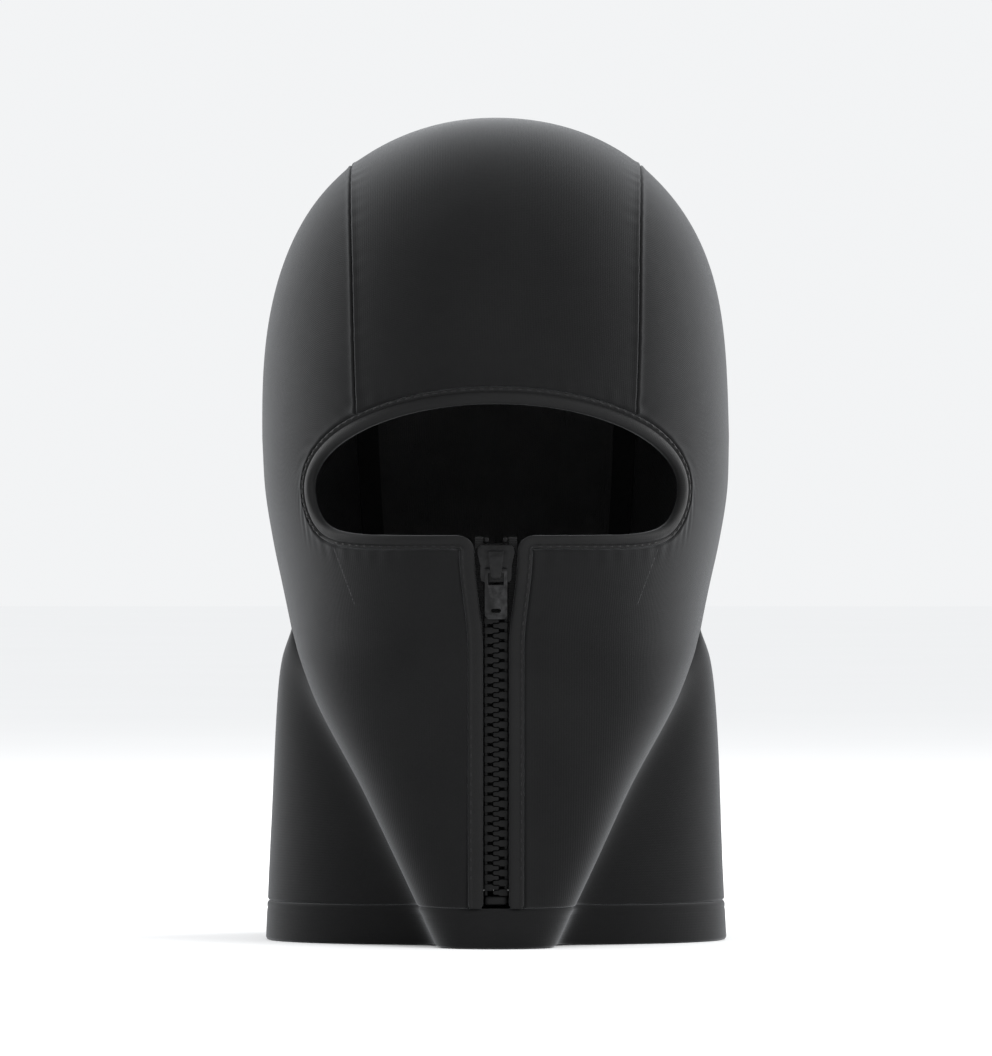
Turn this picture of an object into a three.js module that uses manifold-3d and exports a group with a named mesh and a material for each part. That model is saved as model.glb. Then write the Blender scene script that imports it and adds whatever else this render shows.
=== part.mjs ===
// A zip-front balaclava: a close-fitting hood of thick black jersey with one wide eye opening.
// Units are millimetres. +Z is up, the face looks along -Y and the wearer's left is +X.
// The hem rests on the plane z = 0, and the origin is the middle of the box round the hood.
import * as THREE from 'three';
import * as BufferGeometryUtils from 'three/addons/utils/BufferGeometryUtils.js';
import Module from 'manifold-3d';

const wasm = await Module();
wasm.setup();

// ---------------------------------------------------------------- driving dimensions

const hoodHeight = 296;          // hem to the top of the head
const headHalfWidth = 84;        // widest half width, at the temples
const foreheadDepth = 98;        // head centre to the forehead
const backDepth = 104;           // head centre to the back of the head
const domeBaseZ = 180;           // the head narrows above this height
const domeSharpness = 3;         // power in the dome's rounding
const sectionPower = 2.2;        // power of the rounded sections, 2 is an ellipse

const waistZ = 112;              // the neck seam, under the jaw and at the nape
const waistInset = 10.6;         // how much narrower than the head on each side
const waistHalfWidth = headHalfWidth - waistInset;
const waistWidestY = 26;         // how far in front of the centre the section is widest there
const napeDepth = 82;            // centre to the back at the neck seam
const cheekZ = 143;
const cheekInset = 4;            // and the same for the cheeks, the neck, the hem and the jaw
const cheekHalfWidth = headHalfWidth - cheekInset;
const neckInset = 5.3;
const neckHalfWidth = headHalfWidth - neckInset;
const hemInset = 1;
const hemHalfWidth = headHalfWidth - hemInset;
const hemBackDepth = 86;
const throatDepth = 56;          // centre to the front of the neck tube, behind the chin

const noseDepth = 103.5;         // centre to the cloth at the top of the zip
const zipTopZ = 143;
const zipLean = 6.65;            // degrees that the zip leans forward going up
const chinHalfWidth = 46;        // half width of the front piece at the chin
const chinZ = 53;
const jawInset = 21;
const jawHalfWidth = headHalfWidth - jawInset;
const jawZ = 84;
const frontHemHalfWidth = 21;    // half width of the front piece at the hem
const chinFoldDepth = 63;        // how far in front of the centre the fold lies at the chin
const jawFoldDepth = 52;
const hemFoldDepth = 72;
const foldTuck = 4;              // how far the neck tucks in behind the fold
const creaseLength = 3.5;        // how quickly the crease runs out into the neck

const clothThickness = 2.4;
const seamGap = 0.35;            // between pieces that are sewn together
const foldGap = 1.2;             // between the front's fold and the neck behind it
const hemHeight = 14;

const eyeCentreZ = 162;
const eyeSideMargin = 18.25;      // the head's side to the opening's corner, seen from the front
const eyeHalfWidth = headHalfWidth - eyeSideMargin;
const eyeRise = 29.3;            // eye centre line to the top of the opening
const eyeDrop = 35;              // depth that the rounded lower corners head for
const eyeFloor = 16.8;           // eye centre line to the flat lower edge
const eyeCornerPower = 9;        // how tightly the lower corners turn
const bindingTopWidth = 6;
const bindingBottomWidth = 4.7;
const bindingProud = 0.6;        // how far the binding stands out of the cloth
const cornerShare = 0.425;       // where the brow's band meets the front's, at the lower corner
const frontCornerRadius = 5.6;   // outer corner of the front's band beside the top of the zip

const crownHalfWidthFront = 49.5;
const crownHalfWidthNape = 44;
const crownBulge = 4.7;          // extra half width half way along
const seamTapeHalfWidth = 4;
const seamTapeThickness = 0.6;
const crownTapeGap = 0.9;        // between the crown's cloth and the tape, whose facets are coarser
const neckTapeGap = 1.2;         // between the neck's cloth and the tape

const toothPitch = 3.5;
const toothOuterX = 4.1;         // half the width of the closed chain
const toothTipX = 1;             // how far a tooth reaches over the middle
const toothThickness = 2.8;
const toothHeadHeight = 1.4;
const toothBodyHeight = 2.3;
const beadThickness = 1;
const runClearance = 0.3;        // between pieces of the zip that slide on each other
const tapeThickness = 0.8;
const tapeWidth = 4.8;
const stopHeight = 2;

const sliderHeight = 13;
const railClearance = 0.4;       // between the teeth and the slider's rails
const railWidth = 0.9;           // of the rails at the slider's lower end
const sliderFlare = 1.1;         // how much further the slider reaches at its top, on each side
const sliderBottomHalfWidth = toothOuterX + railClearance + railWidth;
const sliderTopHalfWidth = sliderBottomHalfWidth + sliderFlare;
const plateThickness = 1.1;
const postHalfWidth = 1.2;
const bridgeTopHalfWidth = 2.9;
const bridgeBottomHalfWidth = 1.6;
const bridgeThickness = 1.2;
const pivotRadius = 0.8;
const pullHalfWidth = 3.9;
const pullArmWidth = 1.15;
const pullWindow = 5;            // pivot to the lower edge of the window the bridge passes through
const pullLength = 17;           // pivot to the free end
const pullThickness = 1.5;
const pullCorner = 1.2;          // cut off the corners of the pull's free end
const pullHoleRadius = 0.75;
const pullHoleHalfReach = 1;     // centre of the oblong hole to the centre of each end
const pullHoleRise = 3;          // free end to the middle of the hole
const bridgeFoot = 1.2;          // length of the bridge's lower foot along the slider
const bridgeHeadFoot = 2;        // and of its upper foot
const bridgeBelowPivot = 3.1;
const bridgeAbovePivot = 7;
const pivotRise = 4.2;           // lower end of the slider to the pivot
const postTopInset = 0.3;
const postShoulder = 3;          // slider's top to where the post starts to taper
const postTip = 5.4;             // slider's top to the post's point
const bottomStopHeight = 3;
const bottomStopProud = 0.3;     // how much thicker the bottom stop is than the teeth, on each side
const topStopWidth = 1.7;
const chainStart = 0.5;          // lower end of the tape to the bottom stop
const sliderBelowRim = 1.2;      // top of the zip to the top of the slider

const slotMargin = 0.5;          // the chain's edge to the slot's
const slotTopMargin = 1.1;       // the slider's edge to the slot's
const slotHalfWidth = toothOuterX + slotMargin;
const slotTopHalfWidth = sliderTopHalfWidth + slotTopMargin;
const slotFlareZ = 105;          // the slot widens above this height
const facingWidth = 5.2;

// ---------------------------------------------------------------- small helpers

const clamp = THREE.MathUtils.clamp;
const lerp = THREE.MathUtils.lerp;
const rounded = (value) => Math.sign(value) * Math.abs(value) ** (2 / sectionPower);
const ease = (value, from, to) => THREE.MathUtils.smoothstep(value, from, to);

// A smooth function through a few [position, value] points, level with its neighbours' slope.
function smoothCurve(points) {
  const slopes = points.map((point, i) => {
    const before = points[Math.max(i - 1, 0)];
    const after = points[Math.min(i + 1, points.length - 1)];
    return (after[1] - before[1]) / (after[0] - before[0]);
  });
  return (position) => {
    let i = 0;
    while (i < points.length - 2 && position > points[i + 1][0]) i += 1;
    const [start, from] = points[i];
    const [end, to] = points[i + 1];
    const span = end - start;
    const t = clamp((position - start) / span, 0, 1);
    const rise = (2 * t - 3) * t * t;
    return from * (1 + rise) - to * rise
      + span * slopes[i] * t * (1 - t) ** 2 - span * slopes[i + 1] * t * t * (1 - t);
  };
}

// The value between low and high at which test(value) turns true.
function bisect(low, high, test) {
  for (let step = 0; step < 48; step += 1) {
    const middle = (low + high) / 2;
    if (test(middle)) high = middle;
    else low = middle;
  }
  return (low + high) / 2;
}

// ---------------------------------------------------------------- the hood's surface

const domeHeight = hoodHeight - domeBaseZ;
const dome = (z) => Math.sqrt(Math.max(1 - Math.max((z - domeBaseZ) / domeHeight, 0) ** domeSharpness, 0));
const lean = THREE.MathUtils.degToRad(zipLean);
const zipSlope = Math.tan(lean);

const headWidthCurve = smoothCurve([
  [waistZ, waistHalfWidth], [(waistZ + cheekZ) / 2, (waistHalfWidth + cheekHalfWidth) / 2],
  [cheekZ, cheekHalfWidth], [(cheekZ + domeBaseZ) / 2, headHalfWidth - 1], [domeBaseZ, headHalfWidth],
]);
const tubeWidthCurve = smoothCurve([
  [0, hemHalfWidth], [waistZ * 0.4, (hemHalfWidth + neckHalfWidth) / 2], [waistZ * 0.75, neckHalfWidth],
  [waistZ * 0.9, lerp(waistHalfWidth, neckHalfWidth, 0.65)], [waistZ, waistHalfWidth],
]);
const frontWidthCurve = smoothCurve([
  [0, frontHemHalfWidth], [chinZ, chinHalfWidth], [jawZ, jawHalfWidth],
  [lerp(jawZ, waistZ, 0.6), lerp(jawHalfWidth, waistHalfWidth, 0.67)], [waistZ, waistHalfWidth],
]);
// How far in front of the centre the section is widest: below the waist this is the fold.
const widestY = smoothCurve([
  [0, hemFoldDepth], [chinZ, chinFoldDepth], [jawZ, jawFoldDepth],
  [lerp(jawZ, waistZ, 0.6), lerp(jawFoldDepth, waistWidestY, 0.45)], [waistZ, waistWidestY],
  [cheekZ, waistWidestY * 0.35], [domeBaseZ, 0], [hoodHeight, 0],
]);
const tubeWidestCurve = smoothCurve([[0, 5], [waistZ * 0.5, 10], [waistZ, waistWidestY]]);
const backCurve = smoothCurve([
  [0, hemBackDepth], [waistZ * 0.6, napeDepth - 1], [waistZ, napeDepth],
  [(waistZ + domeBaseZ) / 2, lerp(napeDepth, backDepth, 0.72)], [domeBaseZ, backDepth],
]);

function halfWidth(z) {
  if (z >= domeBaseZ) return headHalfWidth * dome(z);
  return z >= waistZ ? headWidthCurve(z) : frontWidthCurve(z);
}

function frontDepth(z) {
  if (z >= domeBaseZ) return foreheadDepth * dome(z);
  const alongZip = noseDepth - (zipTopZ - z) * zipSlope;
  return z <= zipTopZ ? alongZip : lerp(noseDepth, foreheadDepth, ease(z, zipTopZ, domeBaseZ));
}

const backReach = (z) => (z >= domeBaseZ ? backDepth * dome(z) : backCurve(z));

// A point of the head or the front piece: station 0 is the zip, 1 the widest place, 2 the back.
function headPoint(station, z) {
  const angle = station * Math.PI / 2;
  const widest = widestY(z);
  const reach = station < 1 ? frontDepth(z) - widest : backReach(z) + widest;
  return new THREE.Vector3(
    halfWidth(z) * rounded(Math.sin(angle)), -widest - reach * rounded(Math.cos(angle)), z);
}

const stationOf = (x, z) => Math.asin(clamp(x / halfWidth(z), 0, 1) ** (sectionPower / 2)) / (Math.PI / 2);
const frontPoint = (x, z) => headPoint(stationOf(Math.abs(x), z), z).setX(x);

// A point of the neck behind the fold: turn 0 is the fold, 1 the middle of the back.
function neckPoint(turn, z) {
  const width = tubeWidthCurve(z);
  const widest = tubeWidestCurve(z);
  const tuck = foldTuck * ease(waistZ - z, 0, 40);
  const startX = Math.min(frontWidthCurve(z) - tuck, width);
  const startAngle = Math.asin((startX / width) ** (sectionPower / 2));
  const onTube = (angle) => {
    const reach = angle < Math.PI / 2 ? throatDepth - widest : backCurve(z) + widest;
    return new THREE.Vector3(
      width * rounded(Math.sin(angle)), -widest - reach * rounded(Math.cos(angle)), z);
  };
  const foot = onTube(startAngle);
  const point = onTube(lerp(startAngle, Math.PI, turn));
  const fold = new THREE.Vector3(frontWidthCurve(z), -widestY(z), z);
  const lift = Math.exp(-point.distanceTo(foot) / creaseLength);
  return point.addScaledVector(fold.sub(foot), lift);
}

const mirrored = (point, side) => point.setX(point.x * side);

// ---------------------------------------------------------------- the eye opening

const eyeAngle = (share) => lerp(-Math.PI / 2, Math.PI / 2, share);

// The opening's edge seen from the front, on the wearer's left: share 0 is the middle of the lower
// edge, 1 the middle of the brow.
function eyeOutline(share) {
  const angle = eyeAngle(share);
  const across = Math.cos(angle);
  const up = Math.sin(angle);
  const drop = up > 0 ? eyeRise : eyeDrop;
  const round = 1 / Math.hypot(across / eyeHalfWidth, up / drop);
  if (up >= 0) return [across * round, up * round];
  const flat = eyeFloor / -up;
  const reach = (round ** -eyeCornerPower + flat ** -eyeCornerPower) ** (-1 / eyeCornerPower);
  return [across * reach, up * reach];
}

// A point that lies a distance outside the opening's edge, measured along the cloth.
function eyeEdge(share, distance) {
  const at = (value) => {
    const [x, up] = eyeOutline(value);
    return frontPoint(x, eyeCentreZ + up);
  };
  const step = 1e-3;
  const point = at(share);
  const along = at(share + step).sub(at(share - step)).normalize();
  const outward = new THREE.Vector3().crossVectors(along, surfaceNormal(point.x, point.z)).normalize();
  const moved = point.addScaledVector(outward, distance);
  return frontPoint(moved.x, moved.z);
}

// The outward normal of the front of the hood at a place seen from the front.
function surfaceNormal(x, z) {
  const step = 0.05;
  const across = frontPoint(x + step, z).sub(frontPoint(x - step, z));
  const up = frontPoint(x, z + step).sub(frontPoint(x, z - step));
  return new THREE.Vector3().crossVectors(across, up).normalize();
}

// Shares round the opening, spaced evenly along the edge between two shares.
function evenShares(from, to, count) {
  const fineSteps = 400;
  const fine = Array.from({ length: fineSteps + 1 }, (_, i) => lerp(from, to, i / fineSteps));
  const points = fine.map((share) => eyeEdge(share, 0));
  const lengths = points.map(() => 0);
  for (let i = 1; i < points.length; i += 1) {
    lengths[i] = lengths[i - 1] + points[i].distanceTo(points[i - 1]);
  }
  return Array.from({ length: count + 1 }, (_, i) => {
    const target = lengths[fineSteps] * i / count;
    const next = Math.max(lengths.findIndex((length) => length >= target - 1e-9), 1);
    const part = (target - lengths[next - 1]) / (lengths[next] - lengths[next - 1]);
    return lerp(fine[next - 1], fine[next], part);
  });
}

const bindingWidth = (share) => lerp(bindingBottomWidth, bindingTopWidth, ease(share, 0.3, 0.6));
const clothEdge = (share) => eyeEdge(share, bindingWidth(share) + seamGap);

// ---------------------------------------------------------------- the slot for the zip

const slotHalf = (z) => lerp(slotHalfWidth, slotTopHalfWidth, ease(z, slotFlareZ, zipTopZ - 3));
const frontPanelEdgeX = (z) => slotHalf(z) + facingWidth + seamGap;
const rimZ = eyeCentreZ - eyeFloor;
const cornerX = slotTopHalfWidth + frontCornerRadius;
const zipCornerShare = bisect(1e-4, 0.4, (share) => eyeEdge(share, 0).x > cornerX);
const nudgeStep = 0.01;
const nudgeLength = eyeEdge(cornerShare, 0).distanceTo(eyeEdge(cornerShare + nudgeStep, 0));
const joinNudge = nudgeStep * seamGap / 2 / nudgeLength;       // half a seam's gap as a share
const frontShare = bisect(1e-4, 0.4, (share) => clothEdge(share).x > frontPanelEdgeX(zipTopZ));
const frontTopZ = clothEdge(frontShare).z;

// ---------------------------------------------------------------- the crown panel's lines

const poleZ = 150;               // height that the crown's lines are spread round
const crownHalfWidth = (along) => lerp(crownHalfWidthFront, crownHalfWidthNape, along)
  + crownBulge * 4 * along * (1 - along);

// Whether a point at or above the neck seam lies outside the hood's surface.
function outside(x, y, z) {
  const width = halfWidth(z);
  if (z >= hoodHeight || Math.abs(x) >= width) return true;
  const fromWidest = y + widestY(z);
  const reach = fromWidest < 0 ? frontDepth(z) - widestY(z) : backReach(z) + widestY(z);
  return (Math.abs(x) / width) ** sectionPower + (Math.abs(fromWidest) / reach) ** sectionPower > 1;
}

function browZ(x) {
  const share = bisect(0.5, 1, (value) => clothEdge(value).x < Math.abs(x));
  return clothEdge(share).z;
}

// A point of the top of the hood: along 0 is the brow, 1 the nape.
function crownPoint(x, along) {
  const brow = frontPoint(x, browZ(x));
  const nape = headPoint(2 - stationOf(Math.abs(x), waistZ), waistZ);
  const startAngle = Math.atan2(brow.z - poleZ, -brow.y);
  const endAngle = Math.PI + Math.atan2(poleZ - waistZ, nape.y);
  const angle = lerp(startAngle, endAngle, along);
  const far = 2 * hoodHeight;
  const reach = bisect(0, far, (r) => outside(x, -Math.cos(angle) * r, poleZ + Math.sin(angle) * r));
  return new THREE.Vector3(x, -Math.cos(angle) * reach, poleZ + Math.sin(angle) * reach);
}

// The station and height of a point of the head.
function onHead(point) {
  const station = stationOf(point.x, point.z);
  return [point.y < -widestY(point.z) ? station : 2 - station, point.z];
}

// ---------------------------------------------------------------- closed bodies from patches

// A closed sheet of cloth: the patch set in by inset, and again by inset + thickness.
// A ring joins its last column to its first, and a level sheet keeps its edges level.
function clothShell(patch, columns, rows, options = {}) {
  const { thickness = clothThickness, inset = 0, ring = false, level = false } = options;
  const step = 1e-4;
  const normalAt = (u, v) => {
    const after = ring ? u + step : Math.min(u + step, 1);
    const before = ring ? u - step : Math.max(u - step, 0);
    const alongU = patch(after, v).sub(patch(before, v));
    const alongV = patch(u, Math.min(v + step, 1)).sub(patch(u, Math.max(v - step, 0)));
    const normal = new THREE.Vector3().crossVectors(alongU, alongV);
    return (level ? normal.setZ(0) : normal).normalize();
  };
  const probeU = 0.37;
  const middle = patch(probeU, 0.5);
  const away = middle.clone().setZ(Math.max(middle.z - poleZ, 0));
  const side = Math.sign(normalAt(probeU, 0.5).dot(away));
  const lines = ring ? columns : columns + 1;
  const outer = [];
  const inner = [];
  for (let i = 0; i < lines; i += 1) {
    for (let j = 0; j <= rows; j += 1) {
      const u = i / columns;
      const v = j / rows;
      const normal = normalAt(u, v).multiplyScalar(side);
      outer.push(patch(u, v).addScaledVector(normal, -inset));
      inner.push(patch(u, v).addScaledVector(normal, -inset - thickness));
    }
  }
  const shift = outer.length;
  const id = (i, j) => (i % lines) * (rows + 1) + j;
  const faces = [];
  const quad = (a, b, c, d) => faces.push(a, b, c, a, c, d);
  for (let i = 0; i < columns; i += 1) {
    for (let j = 0; j < rows; j += 1) {
      const corners = [id(i, j), id(i + 1, j), id(i + 1, j + 1), id(i, j + 1)];
      quad(...corners);
      quad(...corners.map((corner) => corner + shift).reverse());
    }
    quad(id(i + 1, 0), id(i, 0), id(i, 0) + shift, id(i + 1, 0) + shift);
    quad(id(i, rows), id(i + 1, rows), id(i + 1, rows) + shift, id(i, rows) + shift);
  }
  for (let j = 0; j < rows && !ring; j += 1) {
    quad(id(0, j), id(0, j + 1), id(0, j + 1) + shift, id(0, j) + shift);
    quad(id(columns, j + 1), id(columns, j), id(columns, j) + shift, id(columns, j + 1) + shift);
  }
  return closedGeometry([...outer, ...inner], faces);
}

// A geometry whose faces point out, whichever way round they were given.
function closedGeometry(points, faces) {
  let volume = 0;
  for (let i = 0; i < faces.length; i += 3) {
    const [a, b, c] = faces.slice(i, i + 3).map((corner) => points[corner]);
    volume += new THREE.Vector3().crossVectors(a, b).dot(c);
  }
  const geometry = new THREE.BufferGeometry();
  const places = points.flatMap((point) => point.toArray());
  geometry.setAttribute('position', new THREE.Float32BufferAttribute(places, 3));
  geometry.setIndex(volume > 0 ? faces : faces.reverse());
  return geometry;
}

// A closed band: loops of equal length joined one to the next, with both ends capped.
function loft(loops) {
  const count = loops[0].length;
  const faces = [];
  for (let i = 0; i < loops.length - 1; i += 1) {
    for (let j = 0; j < count; j += 1) {
      const a = i * count + j;
      const b = i * count + (j + 1) % count;
      faces.push(a, b, b + count, a, b + count, a + count);
    }
  }
  const last = (loops.length - 1) * count;
  for (let j = 1; j < count - 1; j += 1) {
    faces.push(0, j + 1, j);
    faces.push(last, last + j, last + j + 1);
  }
  return closedGeometry(loops.flat(), faces);
}

function solidOf(geometry) {
  const bare = geometry.clone();
  bare.deleteAttribute('normal');
  bare.deleteAttribute('uv');
  const merged = BufferGeometryUtils.mergeVertices(bare, 1e-5);
  return new wasm.Manifold(new wasm.Mesh({
    numProp: 3,
    vertProperties: new Float32Array(merged.attributes.position.array),
    triVerts: new Uint32Array(merged.index.array),
  }));
}

function geometryOf(solid) {
  const mesh = solid.getMesh();
  const geometry = new THREE.BufferGeometry();
  geometry.setAttribute('position', new THREE.Float32BufferAttribute(mesh.vertProperties, 3));
  geometry.setIndex(Array.from(mesh.triVerts));
  return geometry;
}

const joined = (geometries) => geometryOf(geometries.map(solidOf).reduce((all, one) => all.add(one)));

// An outline in X and Z made solid between two depths.
function slab(outline, fromY, toY, holes = []) {
  const shape = new THREE.Shape(outline.map(([x, z]) => new THREE.Vector2(x, z)));
  shape.holes = holes.map((hole) => new THREE.Path(hole.map(([x, z]) => new THREE.Vector2(x, z))));
  const geometry = new THREE.ExtrudeGeometry(shape, { depth: toY - fromY, bevelEnabled: false });
  geometry.rotateX(Math.PI / 2);
  return geometry.translate(0, toY, 0);
}

function block(fromX, toX, fromY, toY, fromZ, toZ) {
  const geometry = new THREE.BoxGeometry(toX - fromX, toY - fromY, toZ - fromZ);
  return geometry.translate((fromX + toX) / 2, (fromY + toY) / 2, (fromZ + toZ) / 2);
}

// ---------------------------------------------------------------- cloth pieces

const crownSeamSteps = 24;       // along the crown seam, the same on both sides of it

function crownPanel() {
  const across = (u) => lerp(-1, 1, u);
  const patch = (u, v) => crownPoint(across(u) * (crownHalfWidth(v) - seamGap / 2), v);
  return clothShell(patch, 14, crownSeamSteps);
}

// The side panel runs from the eye opening, v up the front edge to the crown seam, u outward.
const crownShare = bisect(0.5, 1, (share) => clothEdge(share).x < crownHalfWidthFront + seamGap / 2);
const hemRows = 6;               // rows of the side panel that end on the hem
const foldRows = 10;             // rows that end on the fold
const neckRows = 12;             // rows that end on the neck seam
const panelRows = hemRows + foldRows + neckRows;
const frontColumn = hemRows / panelRows;
const jawColumn = (hemRows + foldRows) / panelRows;
const panelHemZ = hemHeight + seamGap;

function outerEdge(v) {
  const hemStation = stationOf(frontPanelEdgeX(panelHemZ), panelHemZ);
  if (v < frontColumn) return [lerp(hemStation, 1, v / frontColumn), panelHemZ];
  if (v < jawColumn) return [1, lerp(panelHemZ, waistZ, (v - frontColumn) / (jawColumn - frontColumn))];
  const napeX = crownHalfWidthNape + seamGap / 2;
  const end = 2 - stationOf(napeX, waistZ);
  return [lerp(1, end, (v - jawColumn) / (1 - jawColumn)), waistZ];
}

function sidePanel(side) {
  const rows = panelRows;
  const shares = evenShares(frontShare, crownShare, rows);
  const shareAt = (v) => {
    const i = Math.min(Math.floor(v * rows), rows - 1);
    return lerp(shares[i], shares[i + 1], v * rows - i);
  };
  const seam = (u) => onHead(crownPoint(crownHalfWidth(u) + seamGap / 2, u));
  const mix = (from, to, share) => from.map((value, i) => lerp(value, to[i], share));
  const seamStart = seam(0);
  const seamEnd = seam(1);
  const zipEdgeTop = onHead(clothEdge(frontShare));
  const patch = (u, v) => {
    const start = onHead(clothEdge(shareAt(v)));
    let [station, z] = mix(start, outerEdge(v), u);
    const pull = ease(v, jawColumn * 0.75, 1) ** 1.5;
    const seamNow = seam(u);
    const straight = mix(seamStart, seamEnd, u);
    station += pull * (seamNow[0] - straight[0]);
    z += pull * (seamNow[1] - straight[1]);
    const edgeZ = lerp(zipEdgeTop[1], panelHemZ, u);
    const bend = stationOf(frontPanelEdgeX(edgeZ), edgeZ) - lerp(zipEdgeTop[0], outerEdge(0)[0], u);
    station += bend * (1 - v) ** 4;
    return mirrored(headPoint(station, z), side);
  };
  return clothShell(patch, crownSeamSteps, rows);
}

// How a half turn of the neck is shared between columns: closer together at the crease.
const creaseSpacing = (share) => share ** 1.6;

function neckPanel() {
  const patch = (u, v) => {
    const turn = creaseSpacing(1 - Math.abs(2 * u - 1));
    const point = neckPoint(turn, lerp(panelHemZ, waistZ - seamGap, v));
    return mirrored(point.setY(point.y + foldGap * (1 - turn)), u < 0.5 ? -1 : 1);
  };
  return clothShell(patch, 44, 7);
}

// The hem goes all the way round: the front piece, the fold, then the neck.
function hemBand() {
  const frontShareOfHem = 0.25;
  const patch = (u, v) => {
    const turn = u - Math.floor(u);
    const share = 1 - Math.abs(2 * turn - 1);
    const z = hemHeight * v;
    const point = share < frontShareOfHem
      ? headPoint(share / frontShareOfHem, z)
      : neckPoint(creaseSpacing((share - frontShareOfHem) / (1 - frontShareOfHem)), z);
    return mirrored(point, turn < 0.5 ? 1 : -1);
  };
  return clothShell(patch, 96, 2, { ring: true, level: true });
}

// A loop with rounded corners, from its centre and its two half sizes as vectors.
function roundedLoop(centre, halfA, halfB, count = 8) {
  const squareness = 0.5;
  const squared = (value) => Math.sign(value) * Math.abs(value) ** squareness;
  return Array.from({ length: count }, (_, k) => {
    const angle = 2 * Math.PI * (k + 0.5) / count;
    const point = centre.clone().addScaledVector(halfA, squared(Math.cos(angle)));
    return point.addScaledVector(halfB, squared(Math.sin(angle)));
  });
}

const acrossUnit = new THREE.Vector3(1, 0, 0);
const outUnit = new THREE.Vector3(0, 1, 0);

// One section of the band, from its edge on the opening to its edge on the cloth, with the normals there.
function bandSection(edge, cloth, edgeNormal, clothNormal, proud) {
  return roundedLoop(new THREE.Vector3(), acrossUnit, outUnit).map((spot) => {
    const share = (spot.x + 1) / 2;
    const height = lerp(-clothThickness, proud, (spot.y + 1) / 2);
    const normal = edgeNormal.clone().lerp(clothNormal, share).normalize();
    return edge.clone().lerp(cloth, share).addScaledVector(normal, height);
  });
}

function rimSection(share) {
  const edge = eyeEdge(share, 0);
  const cloth = eyeEdge(share, bindingWidth(share));
  const normals = [edge, cloth].map((point) => surfaceNormal(point.x, point.z));
  return bandSection(edge, cloth, ...normals, bindingProud);
}

// The band sewn along the brow, from one lower corner of the opening over the top to the other.
function browBinding() {
  const sections = 30;
  const half = evenShares(cornerShare + joinNudge, 1, sections).map(rimSection);
  const flipped = (loop) => loop.map((point) => mirrored(point.clone(), -1));
  const other = half.slice(0, -1).reverse().map(flipped);
  return loft([...half, ...other]);
}

// The turned edge of the front: up beside the zip, round a corner and along the opening's lower edge.
function frontBinding(side) {
  const flatNormal = new THREE.Vector3(0, -Math.cos(lean), -Math.sin(lean));
  const onZipPlane = (x, z) => new THREE.Vector3(x, -frontDepth(z), z);
  const sections = [];
  const uprightSteps = 12;
  for (let i = 0; i < uprightSteps; i += 1) {
    const z = lerp(panelHemZ + seamGap, rimZ - frontCornerRadius, i / uprightSteps);
    const [edge, cloth] = [onZipPlane(slotHalf(z), z), onZipPlane(slotHalf(z) + facingWidth, z)];
    sections.push(bandSection(edge, cloth, flatNormal, flatNormal, 0));
  }
  const turnSteps = 6;
  for (let i = 0; i < turnSteps; i += 1) {
    const turned = i / turnSteps;
    const angle = Math.PI * (1 - turned / 2);
    const at = (radius) => {
      const x = cornerX + radius * Math.cos(angle);
      const z = rimZ - frontCornerRadius + radius * Math.sin(angle);
      return onZipPlane(x, z).lerp(frontPoint(x, z), turned);
    };
    const cloth = at(frontCornerRadius - lerp(facingWidth, bindingBottomWidth, turned));
    const normal = flatNormal.clone().lerp(surfaceNormal(cornerX, rimZ), turned).normalize();
    sections.push(bandSection(at(frontCornerRadius), cloth, normal, normal, bindingProud * turned));
  }
  const rimSteps = 16;
  sections.push(...evenShares(zipCornerShare, cornerShare - joinNudge, rimSteps).map(rimSection));
  return loft(sections.map((loop) => loop.map((point) => mirrored(point, side))));
}

// A tape laid over the crown seam on the inside, one step of the seam short of either end.
function crownSeamTape(side) {
  const endShare = 1 / crownSeamSteps;
  const patch = (u, v) => {
    const along = lerp(endShare, 1 - endShare, v);
    const x = crownHalfWidth(along) + lerp(-1, 1, u) * seamTapeHalfWidth;
    return mirrored(crownPoint(x, along), side);
  };
  const inset = clothThickness + crownTapeGap;
  return clothShell(patch, 3, crownSeamSteps - 2, { inset, thickness: seamTapeThickness });
}

// A tape laid over the neck seam on the inside, from fold to fold round the nape.
function neckSeamTape() {
  const foldStation = 1.08;
  const patch = (u, v) => {
    const point = headPoint(lerp(2, foldStation, Math.abs(2 * u - 1)), waistZ);
    return mirrored(point.setZ(waistZ + lerp(-1, 1, v) * seamTapeHalfWidth), u < 0.5 ? -1 : 1);
  };
  const inset = clothThickness + neckTapeGap;
  return clothShell(patch, 36, 1, { inset, thickness: seamTapeThickness, level: true });
}

// ---------------------------------------------------------------- the zip, in its own frame

// The zip's frame has Z up along the zip, -Y out of the cloth, and y = 0 on the cloth's surface.
const along = (z) => z / Math.cos(lean);
const facingDepth = clothThickness;
const tapeFrontY = facingDepth + seamGap;
const chainY = tapeFrontY + tapeThickness / 2;
const toothFrontY = chainY - toothThickness / 2;
const toothBackY = chainY + toothThickness / 2;
const tapeInnerX = toothOuterX + runClearance;
const tapeBottom = along(hemHeight + 2 * seamGap);
const stopBottom = tapeBottom + chainStart;
const sliderTop = along(zipTopZ - sliderBelowRim);
const sliderBottom = sliderTop - sliderHeight;
const chainBottom = stopBottom + bottomStopHeight + runClearance;
const chainTop = sliderTop + runClearance;
const firstTooth = chainBottom + toothBodyHeight / 2;
const postShare = 0.42;          // the post keeps the teeth apart in this share of the slider
const toothRoom = sliderTop - sliderHeight * postShare - toothPitch / 2 - firstTooth;
const toothCount = Math.floor(toothRoom / toothPitch) + 1;

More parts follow.
